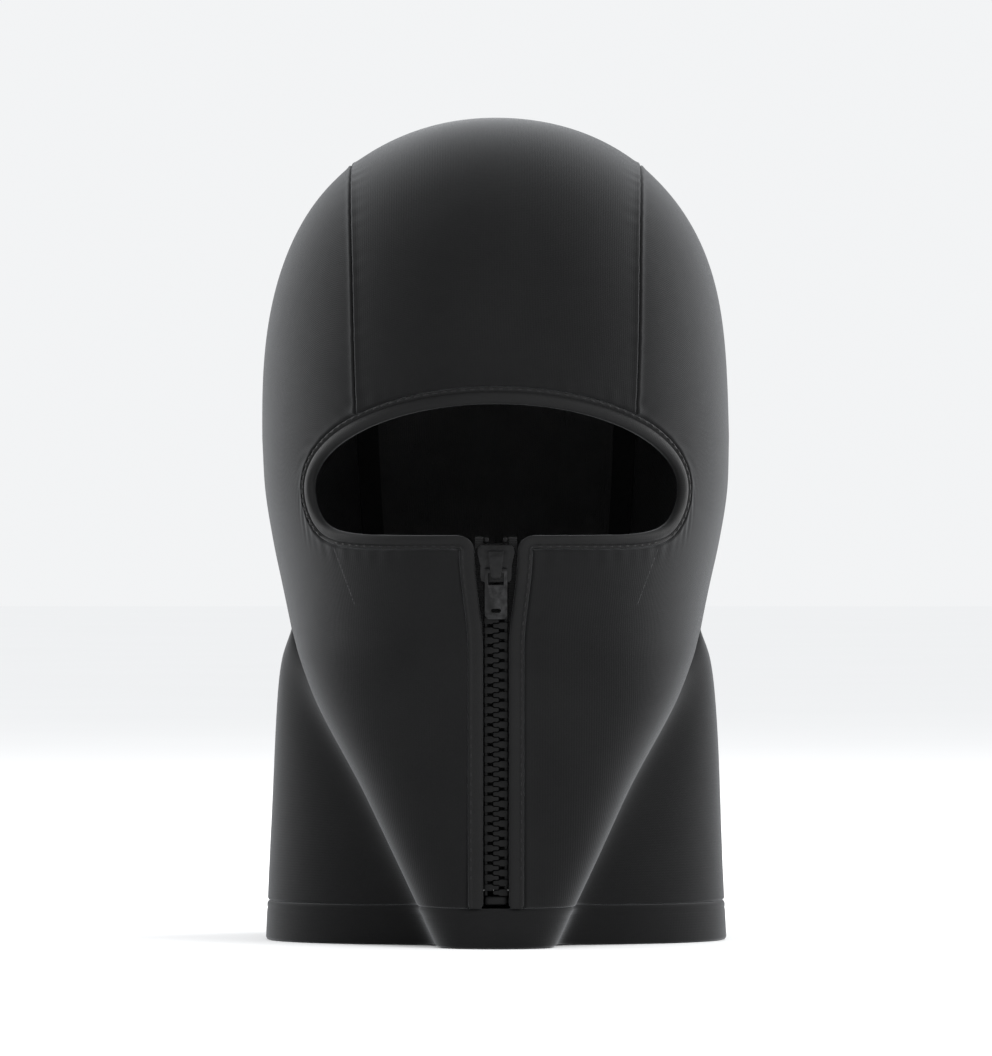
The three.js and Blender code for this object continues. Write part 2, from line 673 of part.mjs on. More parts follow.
function zipTape(side) {
  const outerX = tapeInnerX + tapeWidth;
  const neckX = slotTopHalfWidth - runClearance;
  const shoulder = along(frontTopZ - 1);
  const top = chainTop + stopHeight + runClearance;
  const outline = [[tapeInnerX, tapeBottom], [outerX, tapeBottom], [outerX, shoulder - 2],
    [neckX, shoulder], [neckX, top], [tapeInnerX, top]];
  return slab(outline.map(([x, l]) => [side * x, l]), tapeFrontY, tapeFrontY + tapeThickness);
}

// One moulded tooth, its head reaching over the middle of the chain.
function tooth(side, l) {
  const head = toothHeadHeight / 2;
  const body = toothBodyHeight / 2;
  const upper = [[-toothTipX, head * 0.6], [-toothTipX + 0.4, head], [toothTipX * 0.8, head],
    [toothTipX + 0.5, body], [toothOuterX - 0.3, body], [toothOuterX, body - 0.3]];
  const lower = upper.map(([x, up]) => [x, -up]).reverse();
  return slab([...upper, ...lower].map(([x, up]) => [side * x, l + up]), toothFrontY, toothBackY);
}

// A row of teeth on the bead that carries them.
function zipTeeth(side) {
  const first = firstTooth + (side > 0 ? 0 : toothPitch / 2);
  const count = side > 0 ? toothCount : toothCount - 1;
  const teeth = Array.from({ length: count }, (_, i) => tooth(side, first + i * toothPitch));
  const beadOuterX = toothOuterX - 0.1;
  const beadX = [beadOuterX - beadThickness, beadOuterX].map((x) => side * x).sort((a, b) => a - b);
  const halfBead = beadThickness / 2;
  const bead = block(...beadX, chainY - halfBead, chainY + halfBead, chainBottom, chainTop);
  return joined([bead, ...teeth]);
}

function topStop(side) {
  const bottom = chainTop + runClearance;
  const edges = [toothOuterX - topStopWidth, toothOuterX].map((x) => side * x).sort((a, b) => a - b);
  const inset = 0.4;
  const loops = [bottom, bottom + inset, bottom + stopHeight - inset, bottom + stopHeight].map((l, i) => {
    const halfX = (edges[1] - edges[0]) / 2 - (i % 3 === 0 ? inset : 0);
    const halfY = toothThickness / 2 - (i % 3 === 0 ? inset : 0);
    return roundedLoop(new THREE.Vector3((edges[0] + edges[1]) / 2, chainY, l),
      new THREE.Vector3(halfX, 0, 0), new THREE.Vector3(0, halfY, 0));
  });
  return loft(loops);
}

function bottomStop() {
  const inset = 0.5;
  const loops = [0, inset, bottomStopHeight - inset, bottomStopHeight].map((rise, i) => {
    const shrink = i % 3 === 0 ? inset : 0;
    const halfDepth = toothThickness / 2 + bottomStopProud - shrink;
    return roundedLoop(new THREE.Vector3(0, chainY, stopBottom + rise),
      new THREE.Vector3(toothOuterX - shrink, 0, 0), new THREE.Vector3(0, halfDepth, 0));
  });
  return loft(loops);
}

const frontPlateBack = toothFrontY - runClearance;
const frontPlateFront = frontPlateBack - plateThickness;
const backPlateFront = toothBackY + runClearance;
const pivotY = frontPlateFront - runClearance - pivotRadius;
const pivotL = sliderBottom + pivotRise;

// The slider's outline: broad shoulders, tapering to a rounded lower end.
function sliderOutline() {
  const right = [[sliderBottomHalfWidth - 1.4, 0], [sliderBottomHalfWidth - 0.3, 0.5],
    [sliderBottomHalfWidth, 1.6], [sliderBottomHalfWidth + 0.1, sliderHeight * 0.45],
    [sliderTopHalfWidth, sliderHeight * 0.8],
    [sliderTopHalfWidth - 0.2, sliderHeight - 0.9], [sliderTopHalfWidth - 1.2, sliderHeight]];
  const left = right.map(([x, up]) => [-x, up]).reverse();
  return [...right, ...left].map(([x, up]) => [x, sliderBottom + up]);
}

function sliderBody() {
  const outline = sliderOutline();
  const front = slab(outline, frontPlateFront, frontPlateBack);
  const back = slab(outline, backPlateFront, backPlateFront + plateThickness);
  const bite = 0.1;              // how far the post and the rails reach into the plates
  const postTop = sliderTop - postTopInset;
  const post = slab([[0, sliderTop - postTip], [postHalfWidth, sliderTop - postShoulder],
    [postHalfWidth, postTop], [-postHalfWidth, postTop], [-postHalfWidth, sliderTop - postShoulder]],
    frontPlateBack - bite, backPlateFront + bite);
  const innerX = toothOuterX + railClearance;
  const rail = [[innerX, sliderBottom + 0.8], [sliderBottomHalfWidth - 0.1, sliderBottom + 1.6],
    [sliderBottomHalfWidth, sliderBottom + sliderHeight * 0.45],
    [sliderTopHalfWidth - 0.1, sliderBottom + sliderHeight * 0.8],
    [sliderTopHalfWidth - 0.4, sliderTop - 0.8], [innerX + 0.7, sliderTop - 0.8]];
  const rails = [-1, 1].flatMap((side) => {
    const flat = rail.map(([x, l]) => [side * x, l]);
    return [slab(flat, frontPlateBack - bite, tapeFrontY - runClearance),
      slab(flat, tapeFrontY + tapeThickness + runClearance, backPlateFront + bite)];
  });
  return joined([front, post, back, ...rails]);
}

// The arch over the front plate that the pull hangs from.
function sliderBridge() {
  const foot = frontPlateFront - runClearance;
  const inner = pivotY - pivotRadius - runClearance;
  const outer = inner - bridgeThickness;
  const low = pivotL - bridgeBelowPivot;
  const high = pivotL + bridgeAbovePivot;
  const profile = [[foot, low], [foot, low + bridgeFoot], [inner, low + bridgeFoot],
    [inner, high - bridgeHeadFoot], [foot, high - bridgeHeadFoot], [foot, high], [inner, high],
    [outer, high - 1.6], [outer, low + 1.4], [inner, low]];
  const shape = new THREE.Shape(profile.map(([y, l]) => new THREE.Vector2(y, l)));
  const width = 2 * bridgeTopHalfWidth;
  const arch = new THREE.ExtrudeGeometry(shape, { depth: width, bevelEnabled: false });
  const turn = new THREE.Matrix4().makeBasis(
    new THREE.Vector3(0, 1, 0), new THREE.Vector3(0, 0, 1), new THREE.Vector3(1, 0, 0));
  arch.applyMatrix4(turn).translate(-width / 2, 0, 0);
  const taper = slab([[-bridgeBottomHalfWidth, low - 1], [bridgeBottomHalfWidth, low - 1],
    [bridgeTopHalfWidth - 0.01, high + 1], [0.01 - bridgeTopHalfWidth, high + 1]], outer - 1, foot + 1);
  return geometryOf(solidOf(arch).intersect(solidOf(taper)));
}

// The pull: a flat tab with a window that the bridge passes through and a small oblong hole.
function pullTab() {
  const end = pivotL - pullLength;
  const right = [[pullHalfWidth - pullCorner, end], [pullHalfWidth, end + pullCorner],
    [pullHalfWidth, pivotL]];
  const left = right.map(([x, l]) => [-x, l]).reverse();
  const outline = [...left, ...right];
  const windowX = pullHalfWidth - pullArmWidth;
  const window = [[-windowX, pivotL - pivotRadius], [windowX, pivotL - pivotRadius],
    [windowX, pivotL - pullWindow], [-windowX, pivotL - pullWindow]];
  const holeCorners = 12;
  const hole = Array.from({ length: holeCorners }, (_, k) => {
    const angle = 2 * Math.PI * k / holeCorners;
    const reach = Math.sign(Math.cos(angle) + 1e-6) * pullHoleHalfReach;
    return [Math.cos(angle) * pullHoleRadius + reach,
      end + pullHoleRise + Math.sin(angle) * pullHoleRadius];
  });
  const plate = slab(outline, pivotY - pullThickness / 2, pivotY + pullThickness / 2, [window, hole]);
  const bar = new THREE.CylinderGeometry(pivotRadius, pivotRadius, 2 * pullHalfWidth, 16);
  bar.rotateZ(Math.PI / 2).translate(0, pivotY, pivotL);
  return joined([plate, bar]);
}

// ---------------------------------------------------------------- the assembly

const jersey = { color: 0x1f1f21, roughness: 0.92, metalness: 0 };
const binding = { color: 0x26262a, roughness: 0.88, metalness: 0 };
const tapeCloth = { color: 0x161617, roughness: 0.95, metalness: 0 };
const moulded = { color: 0x121213, roughness: 0.4, metalness: 0 };
const painted = { color: 0x18181a, roughness: 0.35, metalness: 0.3 };

function piece(name, geometry, look) {
  const bare = geometry.clone();
  bare.deleteAttribute('normal');
  bare.deleteAttribute('uv');
  const merged = BufferGeometryUtils.mergeVertices(bare, 1e-5);
  const mesh = new THREE.Mesh(merged, new THREE.MeshStandardMaterial(look));
  mesh.name = name;
  return mesh;
}

const hood = new THREE.Group();
const zip = new THREE.Group();
zip.position.set(0, -frontDepth(0), 0);
zip.rotation.x = lean;

hood.add(piece('crown_panel', crownPanel(), jersey));
hood.add(piece('neck_panel', neckPanel(), jersey));
hood.add(piece('hem_band', hemBand(), jersey));
hood.add(piece('brow_binding', browBinding(), binding));
hood.add(piece('neck_seam_tape', neckSeamTape(), tapeCloth));
for (const [label, side] of [['left', 1], ['right', -1]]) {
  hood.add(piece(`side_panel_${label}`, sidePanel(side), jersey));
  hood.add(piece(`front_binding_${label}`, frontBinding(side), binding));
  hood.add(piece(`crown_seam_tape_${label}`, crownSeamTape(side), tapeCloth));
  zip.add(piece(`zip_tape_${label}`, zipTape(side), tapeCloth));
  zip.add(piece(`zip_teeth_${label}`, zipTeeth(side), moulded));
  zip.add(piece(`top_stop_${label}`, topStop(side), moulded));
}
zip.add(piece('bottom_stop', bottomStop(), moulded));
zip.add(piece('slider_body', sliderBody(), painted));
zip.add(piece('slider_bridge', sliderBridge(), painted));
zip.add(piece('pull_tab', pullTab(), painted));
hood.add(zip);
const box = new THREE.Box3().setFromObject(hood, true);
hood.position.y = -(box.min.y + box.max.y) / 2;

export default hood;
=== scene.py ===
"""The looks of a zip-front balaclava: thick matte black jersey, a rolled band round the eye opening and a
moulded zip down the front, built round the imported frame."""
import math

import bmesh
import bpy
import numpy as np
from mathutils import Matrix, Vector


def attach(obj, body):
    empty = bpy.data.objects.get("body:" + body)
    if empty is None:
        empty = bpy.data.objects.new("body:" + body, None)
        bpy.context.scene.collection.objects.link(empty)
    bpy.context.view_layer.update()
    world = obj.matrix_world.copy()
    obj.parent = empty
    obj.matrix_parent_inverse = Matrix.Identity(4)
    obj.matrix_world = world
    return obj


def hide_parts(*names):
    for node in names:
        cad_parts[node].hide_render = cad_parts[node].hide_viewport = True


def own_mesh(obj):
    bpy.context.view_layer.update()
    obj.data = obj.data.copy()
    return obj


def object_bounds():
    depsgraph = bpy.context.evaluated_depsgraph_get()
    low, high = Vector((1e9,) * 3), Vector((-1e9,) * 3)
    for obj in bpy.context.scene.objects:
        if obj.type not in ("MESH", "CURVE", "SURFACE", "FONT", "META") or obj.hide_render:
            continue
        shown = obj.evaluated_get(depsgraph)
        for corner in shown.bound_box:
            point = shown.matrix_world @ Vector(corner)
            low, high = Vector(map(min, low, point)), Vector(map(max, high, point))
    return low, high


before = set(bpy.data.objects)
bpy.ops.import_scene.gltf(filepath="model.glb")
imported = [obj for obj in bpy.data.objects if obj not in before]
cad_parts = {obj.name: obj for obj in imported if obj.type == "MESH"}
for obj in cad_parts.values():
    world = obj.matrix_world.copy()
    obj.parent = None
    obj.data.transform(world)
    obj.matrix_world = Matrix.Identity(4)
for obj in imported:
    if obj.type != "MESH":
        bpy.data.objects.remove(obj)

cad_low, cad_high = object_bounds()
MM = 0.001               # the sizes below are millimetres
WAVES_SEED = 7           # for the cloth's slight unevenness

# ---------------------------------------------------------------- sizes, from the frame where it has them

HOOD_HEIGHT = cad_high.z / MM
HEAD_HALF_WIDTH = cad_high.x / MM
FOREHEAD_DEPTH = 98      # head centre to the forehead
BACK_DEPTH = 104         # head centre to the back of the head
MIDDLE_Y = cad_high.y / MM - BACK_DEPTH
DOME_BASE_Z = 180        # the head narrows above this height
SECTION_POWER = 2.2      # power of the rounded sections, 2 is an ellipse
WAIST_Z = 112            # the neck seam, under the jaw and at the nape
WAIST_HALF_WIDTH = 73.4
WAIST_WIDEST_Y = 26      # how far in front of the centre the section is widest there
NAPE_DEPTH = 82          # centre to the back at the neck seam
CHEEK_Z = 143
CHEEK_HALF_WIDTH = 80
NECK_HALF_WIDTH = 78.7
HEM_HALF_WIDTH = 83
HEM_BACK_DEPTH = 86
THROAT_DEPTH = 56        # centre to the front of the neck tube, behind the chin
NOSE_DEPTH = 103.5       # centre to the cloth at the top of the zip
ZIP_TOP_Z = 143
ZIP_LEAN = math.radians(6.65)
CHIN_HALF_WIDTH = 46
CHIN_Z = 53
JAW_HALF_WIDTH = 63
JAW_Z = 84
FRONT_HEM_HALF_WIDTH = 21
CHIN_FOLD_DEPTH = 63     # how far in front of the centre the fold lies at the chin
JAW_FOLD_DEPTH = 52
HEM_FOLD_DEPTH = 72
FOLD_TUCK = 4            # how far the neck tucks in behind the fold
EDGE_TUCK_IN = 2.0       # how far its own edge lies inside the fold
EDGE_TUCK_FORWARD = 0.9  # and in front of it
CREASE_LENGTH = 3.5      # how quickly the crease runs out into the neck
CLOTH = 2.4
SEAM_GAP = 0.12          # between pieces that are sewn together
HEM_HEIGHT = 14
EYE_CENTRE_Z = 162
EYE_HALF_WIDTH = 65.75
EYE_RISE = 29.3          # eye centre line to the top of the opening
EYE_DROP = 35            # depth that the rounded lower corners head for
EYE_FLOOR = 16.8         # eye centre line to the flat lower edge
EYE_CORNER_POWER = 9     # how tightly the lower corners turn
BAND_TOP = 6             # the band's width over the brow
BAND_BOTTOM = 4.7        # and along the lower edge
BAND_JOIN = 0.425        # share of the eye edge at which the brow's band meets the front's
FRONT_CORNER_RADIUS = 5.6
CROWN_FRONT = 49.5       # the crown's half width at the brow
CROWN_NAPE = 44
CROWN_BULGE = 4.7        # extra half width half way along
SLOT = 4.6               # half the opening beside the teeth
SLOT_TOP = 7.6           # and at the top of the zip
SLOT_FLARE_Z = 105       # where the opening starts to widen
FACING = 5.2             # width of the front's band beside the zip
RIM_Z = EYE_CENTRE_Z - EYE_FLOOR
POLE_Z = 150             # height that the crown's arcs turn about
LEFT_AND_RIGHT = (("left", 1), ("right", -1))

# ---------------------------------------------------------------- the hood's surface


def ease(value, start, end):
    """0 before start, 1 after end and smooth between them."""
    share = np.clip((value - start) / (end - start), 0, 1)
    return share * share * (3 - 2 * share)


def rounded(value):
    return np.sign(value) * np.abs(value) ** (2 / SECTION_POWER)


def smooth_curve(points):
    """A smooth function through a few (position, value) points."""
    places = np.array([p[0] for p in points], float)
    values = np.array([p[1] for p in points], float)
    before = np.maximum(np.arange(len(points)) - 1, 0)
    after = np.minimum(np.arange(len(points)) + 1, len(points) - 1)
    slopes = (values[after] - values[before]) / (places[after] - places[before])

    def curve(position):
        position = np.asarray(position, float)
        i = np.clip(np.searchsorted(places, position, side="right") - 1, 0, len(places) - 2)
        span = places[i + 1] - places[i]
        t = np.clip((position - places[i]) / span, 0, 1)
        rise = (2 * t - 3) * t * t
        bend = slopes[i] * t * (1 - t) ** 2 - slopes[i + 1] * t * t * (1 - t)
        return values[i] * (1 + rise) - values[i + 1] * rise + span * bend

    return curve


def between(low, high, share):
    return low + (high - low) * share


head_width = smooth_curve([
    (WAIST_Z, WAIST_HALF_WIDTH), ((WAIST_Z + CHEEK_Z) / 2, (WAIST_HALF_WIDTH + CHEEK_HALF_WIDTH) / 2),
    (CHEEK_Z, CHEEK_HALF_WIDTH), ((CHEEK_Z + DOME_BASE_Z) / 2, HEAD_HALF_WIDTH - 1),
    (DOME_BASE_Z, HEAD_HALF_WIDTH)])
tube_width = smooth_curve([
    (0, HEM_HALF_WIDTH), (WAIST_Z * 0.4, (HEM_HALF_WIDTH + NECK_HALF_WIDTH) / 2),
    (WAIST_Z * 0.75, NECK_HALF_WIDTH), (WAIST_Z * 0.9, between(WAIST_HALF_WIDTH, NECK_HALF_WIDTH, 0.65)),
    (WAIST_Z, WAIST_HALF_WIDTH)])
front_width = smooth_curve([
    (0, FRONT_HEM_HALF_WIDTH), (CHIN_Z, CHIN_HALF_WIDTH), (JAW_Z, JAW_HALF_WIDTH),
    (between(JAW_Z, WAIST_Z, 0.6), between(JAW_HALF_WIDTH, WAIST_HALF_WIDTH, 0.67)),
    (WAIST_Z, WAIST_HALF_WIDTH)])
widest_y = smooth_curve([
    (0, HEM_FOLD_DEPTH), (CHIN_Z, CHIN_FOLD_DEPTH), (JAW_Z, JAW_FOLD_DEPTH),
    (between(JAW_Z, WAIST_Z, 0.6), between(JAW_FOLD_DEPTH, WAIST_WIDEST_Y, 0.45)),
    (WAIST_Z, WAIST_WIDEST_Y), (CHEEK_Z, WAIST_WIDEST_Y * 0.35), (DOME_BASE_Z, 0), (HOOD_HEIGHT, 0)])
tube_widest_y = smooth_curve([(0, 5), (WAIST_Z * 0.5, 10), (WAIST_Z, WAIST_WIDEST_Y)])
back_curve = smooth_curve([
    (0, HEM_BACK_DEPTH), (WAIST_Z * 0.6, NAPE_DEPTH - 1), (WAIST_Z, NAPE_DEPTH),
    ((WAIST_Z + DOME_BASE_Z) / 2, between(NAPE_DEPTH, BACK_DEPTH, 0.72)), (DOME_BASE_Z, BACK_DEPTH)])


def dome(z):
    rise = np.maximum((z - DOME_BASE_Z) / (HOOD_HEIGHT - DOME_BASE_Z), 0)
    return np.sqrt(np.maximum(1 - rise ** 3, 0))


def half_width(z):
    below = np.where(z >= WAIST_Z, head_width(z), front_width(z))
    return np.where(z >= DOME_BASE_Z, HEAD_HALF_WIDTH * dome(z), below)


def front_depth(z):
    along_zip = NOSE_DEPTH - (ZIP_TOP_Z - z) * math.tan(ZIP_LEAN)
    face = between(NOSE_DEPTH, FOREHEAD_DEPTH, ease(z, ZIP_TOP_Z, DOME_BASE_Z))
    below = np.where(z <= ZIP_TOP_Z, along_zip, face)
    return np.where(z >= DOME_BASE_Z, FOREHEAD_DEPTH * dome(z), below)


def back_reach(z):
    return np.where(z >= DOME_BASE_Z, BACK_DEPTH * dome(z), back_curve(z))


def points(x, y, z):
    x, y, z = np.broadcast_arrays(x, y, z)
    return np.stack([x, y + MIDDLE_Y, z], -1)


def head_point(station, z):
    """Station 0 is the zip, 1 the widest place and 2 the middle of the back."""
    angle = station * math.pi / 2
    widest = widest_y(z)
    reach = np.where(station < 1, front_depth(z) - widest, back_reach(z) + widest)
    return points(half_width(z) * rounded(np.sin(angle)), -widest - reach * rounded(np.cos(angle)), z)


def station_of(x, z):
    share = np.clip(np.abs(x) / np.maximum(half_width(z), 1e-6), 0, 1)
    return np.arcsin(share ** (SECTION_POWER / 2)) / (math.pi / 2)


def front_point(x, z):
    found = head_point(station_of(x, z), z)
    found[..., 0] = x
    return found


def neck_point(turn, z):
    """Turn 0 is the fold and 1 the middle of the back."""
    width, widest = tube_width(z), tube_widest_y(z)
    start_x = np.minimum(front_width(z) - FOLD_TUCK * ease(WAIST_Z - z, 0, 40), width)
    start = np.arcsin((start_x / width) ** (SECTION_POWER / 2))

    def on_tube(angle):
        reach = np.where(angle < math.pi / 2, THROAT_DEPTH - widest, back_curve(z) + widest)
        return points(width * rounded(np.sin(angle)), -widest - reach * rounded(np.cos(angle)), z)

    foot, found = on_tube(start), on_tube(between(start, math.pi, turn))
    tucked = ease(WAIST_Z - z, -2, 4) * ease(z, HEM_HEIGHT - 1, HEM_HEIGHT + 3)
    fold = points(front_width(z) - EDGE_TUCK_IN * tucked, -widest_y(z) - EDGE_TUCK_FORWARD * tucked, z)
    lift = np.exp(-np.linalg.norm(found - foot, axis=-1, keepdims=True) / CREASE_LENGTH)
    return found + (fold - foot) * lift


def surface_normal(x, z):
    step = 0.05
    across = front_point(x + step, z) - front_point(x - step, z)
    up = front_point(x, z + step) - front_point(x, z - step)
    return unit(np.cross(across, up))


def unit(vectors):
    return vectors / np.maximum(np.linalg.norm(vectors, axis=-1, keepdims=True), 1e-12)


def eye_outline(share):
    """The opening's edge seen from the front: share 0 is the middle of its lower edge, 1 of the brow."""
    angle = between(-math.pi / 2, math.pi / 2, share)
    across, up = np.cos(angle), np.sin(angle)
    drop = np.where(up > 0, EYE_RISE, EYE_DROP)
    round_reach = 1 / np.hypot(across / EYE_HALF_WIDTH, up / drop)
    flat_reach = EYE_FLOOR / np.maximum(-up, 1e-9)
    power = EYE_CORNER_POWER
    lower = (round_reach ** -power + flat_reach ** -power) ** (-1 / power)
    reach = np.where(up >= 0, round_reach, lower)
    return across * reach, EYE_CENTRE_Z + up * reach


def eye_edge(share, distance):
    """A point a distance outside the opening's edge, measured along the cloth."""
    share = np.asarray(share, float)
    step = 1e-3
    found = front_point(*eye_outline(share))
    along = unit(front_point(*eye_outline(share + step)) - front_point(*eye_outline(share - step)))
    outward = unit(np.cross(along, surface_normal(found[..., 0], found[..., 2])))
    moved = found + outward * np.asarray(distance)[..., None]
    return front_point(moved[..., 0], moved[..., 2])


def band_width(share):
    return between(BAND_BOTTOM, BAND_TOP, ease(share, 0.3, 0.6))


def cloth_edge(share):
    return eye_edge(share, band_width(share) + SEAM_GAP)


def even_shares(start, end, spots):
    """Shares spaced evenly along the edge, at spots from 0 to 1."""
    fine = np.linspace(start, end, 801)
    steps = np.linalg.norm(np.diff(eye_edge(fine, 0 * fine), axis=0), axis=-1)
    lengths = np.concatenate([[0], np.cumsum(steps)])
    return np.interp(np.asarray(spots) * lengths[-1], lengths, fine)


def share_where(curve, x, low, high):
    """The share between low and high at which an edge curve crosses x."""
    fine = np.linspace(low, high, 2001)
    across = curve(fine)[:, 0]
    order = np.argsort(across)
    return float(np.interp(x, across[order], fine[order]))


def slot_half(z):
    return between(SLOT, SLOT_TOP, ease(z, SLOT_FLARE_Z, ZIP_TOP_Z - 3))


def panel_edge_x(z):
    return slot_half(z) + FACING + SEAM_GAP


def crown_half_width(along):
    return between(CROWN_FRONT, CROWN_NAPE, along) + CROWN_BULGE * 4 * along * (1 - along)


BROW_SHARES = np.linspace(0.5, 1, 1001)
BROW_EDGE = cloth_edge(BROW_SHARES)


def crown_point(x, along):
    """A point of the top of the hood: along 0 is the brow and 1 the nape."""
    x, along = np.broadcast_arrays(np.asarray(x, float), np.asarray(along, float))
    brow_z = np.interp(-np.abs(x), -BROW_EDGE[:, 0], BROW_EDGE[:, 2])
    brow = front_point(x, brow_z)
    nape = head_point(2 - station_of(x, np.full(x.shape, float(WAIST_Z))), np.full(x.shape, float(WAIST_Z)))
    start = np.arctan2(brow_z - POLE_Z, MIDDLE_Y - brow[..., 1])
    end = math.pi + np.arctan2(POLE_Z - WAIST_Z, nape[..., 1] - MIDDLE_Y)
    angle = between(start, end, along)
    low, high = np.zeros(x.shape), np.full(x.shape, 2 * HOOD_HEIGHT)
    for _ in range(40):
        middle = (low + high) / 2
        out = outside(x, -np.cos(angle) * middle, POLE_Z + np.sin(angle) * middle)
        high = np.where(out, middle, high)
        low = np.where(out, low, middle)
    return points(x, -np.cos(angle) * low, POLE_Z + np.sin(angle) * low)


def outside(x, y, z):
    """Whether points at or above the neck seam lie outside the hood."""
    z_in = np.minimum(z, HOOD_HEIGHT - 1e-6)
    width, widest = half_width(z_in), widest_y(z_in)
    from_widest = y + widest
    reach = np.where(from_widest < 0, front_depth(z_in) - widest, back_reach(z_in) + widest)
    total = (np.abs(x) / width) ** SECTION_POWER + (np.abs(from_widest) / reach) ** SECTION_POWER
    return (z >= HOOD_HEIGHT) | (total > 1)


# ---------------------------------------------------------------- meshes from grids


def edge_spots(count, length, edge=(0, 0.12, 0.35, 0.65, 1.0, 1.4, 1.9, 2.5, 3.3, 4.3)):
    """Places from 0 to 1 along a length in millimetres, close together near both ends."""
    near = np.array(edge) / length
    return np.concatenate([near, np.linspace(near[-1], 1 - near[-1], count)[1:-1], 1 - near[::-1]])


def grid_normals(grid, ring=False):
    first = np.gradient(grid, axis=0)
    if ring:
        first = np.roll(grid, -1, 0) - np.roll(grid, 1, 0)
    return unit(np.cross(first, np.gradient(grid, axis=1)))


def outward(grid, normals):
    """The normals, turned to point away from the middle of the hood."""
    i, j = grid.shape[0] // 3, grid.shape[1] // 2
    away = grid[i, j] - np.array([0, MIDDLE_Y, min(grid[i, j, 2], POLE_Z)])
    return normals * np.sign(np.dot(normals[i, j], away))


def lengths_from(grid, axis):
    """How far each point is along its line of the grid, and how far from the line's end."""
    steps = np.linalg.norm(np.diff(grid, axis=axis), axis=-1)
    start = np.zeros(grid.shape[:2])
    if axis == 0:
        start[1:] = np.cumsum(steps, 0)
    else:
        start[:, 1:] = np.cumsum(steps, 1)
    total = start.max(axis=axis, keepdims=True)
    return start, total - start


def unevenness(grid, size, height):
    """Smooth bumps, the same each time: a sum of waves in many directions."""
    random = np.random.default_rng(WAVES_SEED)
    total = np.zeros(grid.shape[:-1])
    for _ in range(14):
        direction = unit(random.normal(size=3))
        length = size * random.uniform(0.6, 1.6)
        total += np.sin(grid @ direction * 2 * math.pi / length + random.uniform(0, 2 * math.pi))
    return total * height / 14 ** 0.5


def pucker(distance, along, height=0.07, pitch=6.4, reach=4.5):
    """Small ripples that stitching draws into the cloth beside a seam."""
    wobble = np.sin(2 * math.pi * along / pitch) + 0.6 * np.sin(2 * math.pi * along / (pitch * 1.37) + 1.3)
    return height * wobble * np.exp(-((distance - 1.6) / reach) ** 2)


def edge_round(distance, radius):
    """How far the surface drops towards a rounded edge."""
    inside = np.clip(radius - distance, 0, radius)
    return radius - np.sqrt(np.maximum(radius ** 2 - inside ** 2, 0))


def new_object(name, vertices, faces, material, uv=None):
    mesh = bpy.data.meshes.new(name)
    mesh.from_pydata((np.asarray(vertices) * MM).tolist(), [], faces)
    if uv is not None:
        layer = mesh.uv_layers.new(name="cloth")
        corners = np.zeros(len(mesh.loops), np.int32)
        mesh.loops.foreach_get("vertex_index", corners)
        layer.data.foreach_set("uv", uv[corners].astype(np.float32).ravel())
    mesh.polygons.foreach_set("use_smooth", [True] * len(mesh.polygons))
    mesh.materials.append(material)
    mesh.validate()
    mesh.update()
    piece = bpy.data.objects.new(name, mesh)
    bpy.context.scene.collection.objects.link(piece)
    return piece


def layer_faces(columns, rows, ring, shift, flip):
    lines = columns if ring else columns + 1
    i, j = np.meshgrid(np.arange(columns), np.arange(rows), indexing="ij")
    a = (i % lines) * (rows + 1) + j
    b = ((i + 1) % lines) * (rows + 1) + j
    quads = np.stack([a, b, b + 1, a + 1], -1).reshape(-1, 4) + shift
    return quads[:, ::-1] if flip else quads


def wall_faces(columns, rows, ring, shift, flip):
    lines = columns if ring else columns + 1
    i, j = np.arange(columns), np.arange(rows)
    starts, ends = (i % lines) * (rows + 1), ((i + 1) % lines) * (rows + 1)
    walls = [np.stack([ends, starts, starts + shift, ends + shift], -1),
             np.stack([starts + rows, ends + rows, ends + rows + shift, starts + rows + shift], -1)]
    if not ring:
        last = columns * (rows + 1)
        walls.append(np.stack([j, j + 1, j + 1 + shift, j + shift], -1))
        walls.append(np.stack([last + j + 1, last + j, last + j + shift, last + j + 1 + shift], -1))
    walls = np.concatenate(walls)
    return walls[:, ::-1] if flip else walls


def cloth(name, grid, material, lift=0, inset=0, thickness=CLOTH, ring=False, round_edges=(1, 1, 1, 1),
          inside_painted_light=None):
    """A closed piece of cloth from a grid of points on its outer surface, with rounded edges, its inner faces
    optionally in a second material painted with the light inside the hood.
    """
    normals = outward(grid, grid_normals(grid, ring))
    from_u, to_u = lengths_from(grid, 0)
    from_v, to_v = lengths_from(grid, 1)
    radius = thickness * 0.48
    drop = np.zeros(grid.shape[:2])
    for distance, wanted in zip((from_u, to_u, from_v, to_v), round_edges):
        if wanted:
            drop = np.maximum(drop, edge_round(distance, radius))
    outer = grid + normals * (lift - inset - drop)[..., None]
    inner = grid + normals * (np.minimum(lift, 0) * 0.5 - inset - thickness + drop)[..., None]
    columns, rows = grid.shape[0] - (0 if ring else 1), grid.shape[1] - 1
    vertices = np.concatenate([outer.reshape(-1, 3), inner.reshape(-1, 3)])
    flip = facing_in(outer, normals)
    shift = outer.shape[0] * outer.shape[1]
    faces = np.concatenate([layer_faces(columns, rows, ring, 0, flip),
                            layer_faces(columns, rows, ring, shift, not flip),
                            wall_faces(columns, rows, ring, shift, flip)])
    flat = np.stack([from_u, from_v], -1).reshape(-1, 2)
    piece = new_object(name, vertices, faces.tolist(), material, np.concatenate([flat, flat]))
    # The inner faces take the second material, painted with the light and shade inside the hood.
    if inside_painted_light:
        piece.data.materials.append(inside_painted_light)
        count = columns * rows
        index = np.zeros(len(piece.data.polygons), np.int32)
        index[count:2 * count] = 1
        piece.data.polygons.foreach_set("material_index", index)
    return piece


